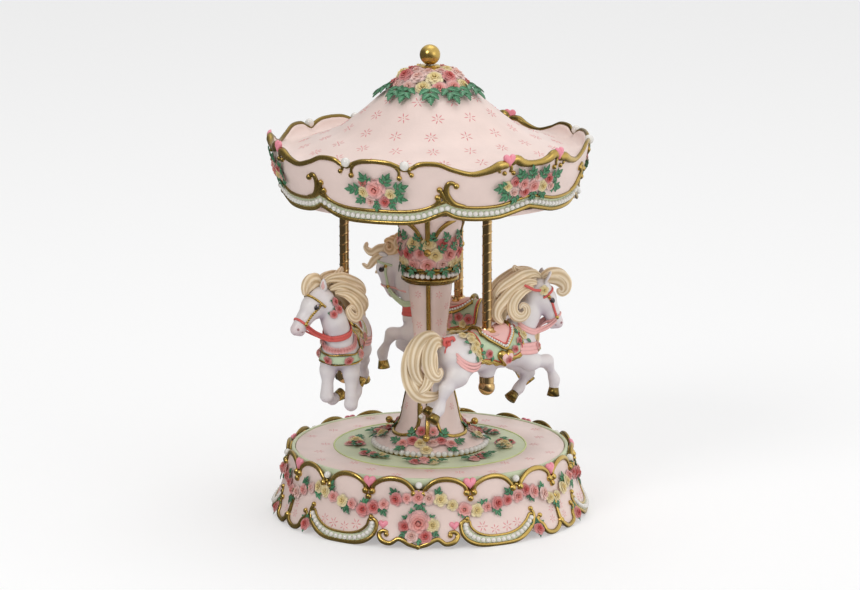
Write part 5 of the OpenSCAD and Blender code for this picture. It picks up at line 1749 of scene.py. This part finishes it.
# ------------------------------------------------------------------ kept CAD nodes
def untinted(material):
    """The same finish for a mesh that has no tints."""
    plain = material.copy()
    plain.name = material.name + "_plain"
    nodes = plain.node_tree.nodes
    plain.node_tree.links.new(nodes["Color Ramp"].outputs["Color"],
                              nodes["Principled BSDF"].inputs["Base Color"])
    return plain


CAD_SLOTS = ("polished_brass", "brass", "steel", "base_plate", "antique_gold", "pink_resin",
             "horse_resin")


def finish_cad():
    """Gives each CAD node that stays visible the finish of its record slot."""
    plain = {slot: untinted(SLOT_MATERIAL[slot]) for slot in CAD_SLOTS}
    slots = {part["node"]: part["material_slot"] for part in frame["record"]["subparts"]}
    for name, node in frame["nodes"].items():
        for slot in node.material_slots:
            slot.material = plain.get(slots.get(name), plain["pink_resin"])


# ------------------------------------------------------------------ studio
def floor():
    """Pale paper that lights itself a little. It isn't seen in gold or pearl."""
    half = 8.0
    plane = bpy.data.meshes.new("floor")
    plane.from_pydata([(-half, -half, 0), (half, -half, 0), (half, half, 0), (-half, half, 0)], [],
                      [(0, 1, 2, 3)])
    paper = bpy.data.materials.new("pale_paper")
    paper.use_nodes = True
    shader = paper.node_tree.nodes["Principled BSDF"]
    for socket, value in (("Base Color", (0.62, 0.62, 0.62, 1)), ("Roughness", 0.9),
                          ("Emission Color", (1, 1, 1, 1)), ("Emission Strength", 0.34)):
        shader.inputs[socket].default_value = value
    plane.materials.append(paper)
    ground = bpy.data.objects.new("floor", plane)
    ground.visible_glossy = False
    bpy.context.scene.collection.objects.link(ground)


def room():
    """White light from all round, brightest from the upper right and dim from below."""
    world = bpy.data.worlds.new("soft_room")
    world.use_nodes = True
    nodes, links = world.node_tree.nodes, world.node_tree.links
    nodes["Background"].inputs["Color"].default_value = (1, 1, 1, 1)
    place = nodes.new("ShaderNodeTexCoord")
    facing = nodes.new("ShaderNodeVectorMath")
    facing.operation = "DOT_PRODUCT"
    facing.inputs[1].default_value = (0.62, 0.30, 0.72)
    level = nodes.new("ShaderNodeMapRange")
    level.interpolation_type = "SMOOTHSTEP"
    for socket, value in (("From Min", -0.25), ("From Max", 0.60), ("To Min", 0.10),
                          ("To Max", 0.92)):
        level.inputs[socket].default_value = value
    links.new(place.outputs["Generated"], facing.inputs[0])
    links.new(facing.outputs["Value"], level.inputs["Value"])
    links.new(level.outputs["Result"], nodes["Background"].inputs["Strength"])
    bpy.context.scene.world = world


def lamps():
    """Three soft area lamps: place and size in metres, and power in watts."""
    target = Vector((0, 0, 0.15))         # the middle of the object
    for name, place, size, power in (("key", (-1.1, -1.7, 1.7), 0.9, 17.0),
                                     ("fill", (1.7, -1.3, 0.9), 1.2, 4.0),
                                     ("top", (0.2, 0.5, 2.2), 1.4, 7.0)):
        light = bpy.data.lights.new(name, "AREA")
        light.size, light.energy = size, power
        lamp = bpy.data.objects.new(name, light)
        lamp.location = place
        lamp.rotation_euler = (target - Vector(place)).to_track_quat("-Z", "Y").to_euler()
        bpy.context.scene.collection.objects.link(lamp)


def camera():
    """A long lens a little to the right of the front, looking down by 12 degrees."""
    view = bpy.data.cameras.new("camera")
    view.lens, view.sensor_width = 150, 36
    turn, distance, height, pitch = math.radians(4.3), 2.2, 0.605, math.radians(78)
    eye = bpy.data.objects.new("camera", view)
    eye.location = (distance * math.sin(turn), -distance * math.cos(turn), height)
    eye.rotation_euler = (pitch, 0, turn)
    bpy.context.scene.collection.objects.link(eye)
    bpy.context.scene.camera = eye


def studio():
    bpy.context.scene.view_settings.view_transform = "Standard"
    floor()
    room()
    lamps()
    camera()


finish_cad()
base_wall()
base_scrolls()
crescent_ground()
base_beads()
base_flowers()
base_stars()
deck()
column()
canopy_wall()
canopy_scrolls()
canopy_flowers()
finial_crown()
poles()
horse_one()
horse_two()
horse_three()
studio()
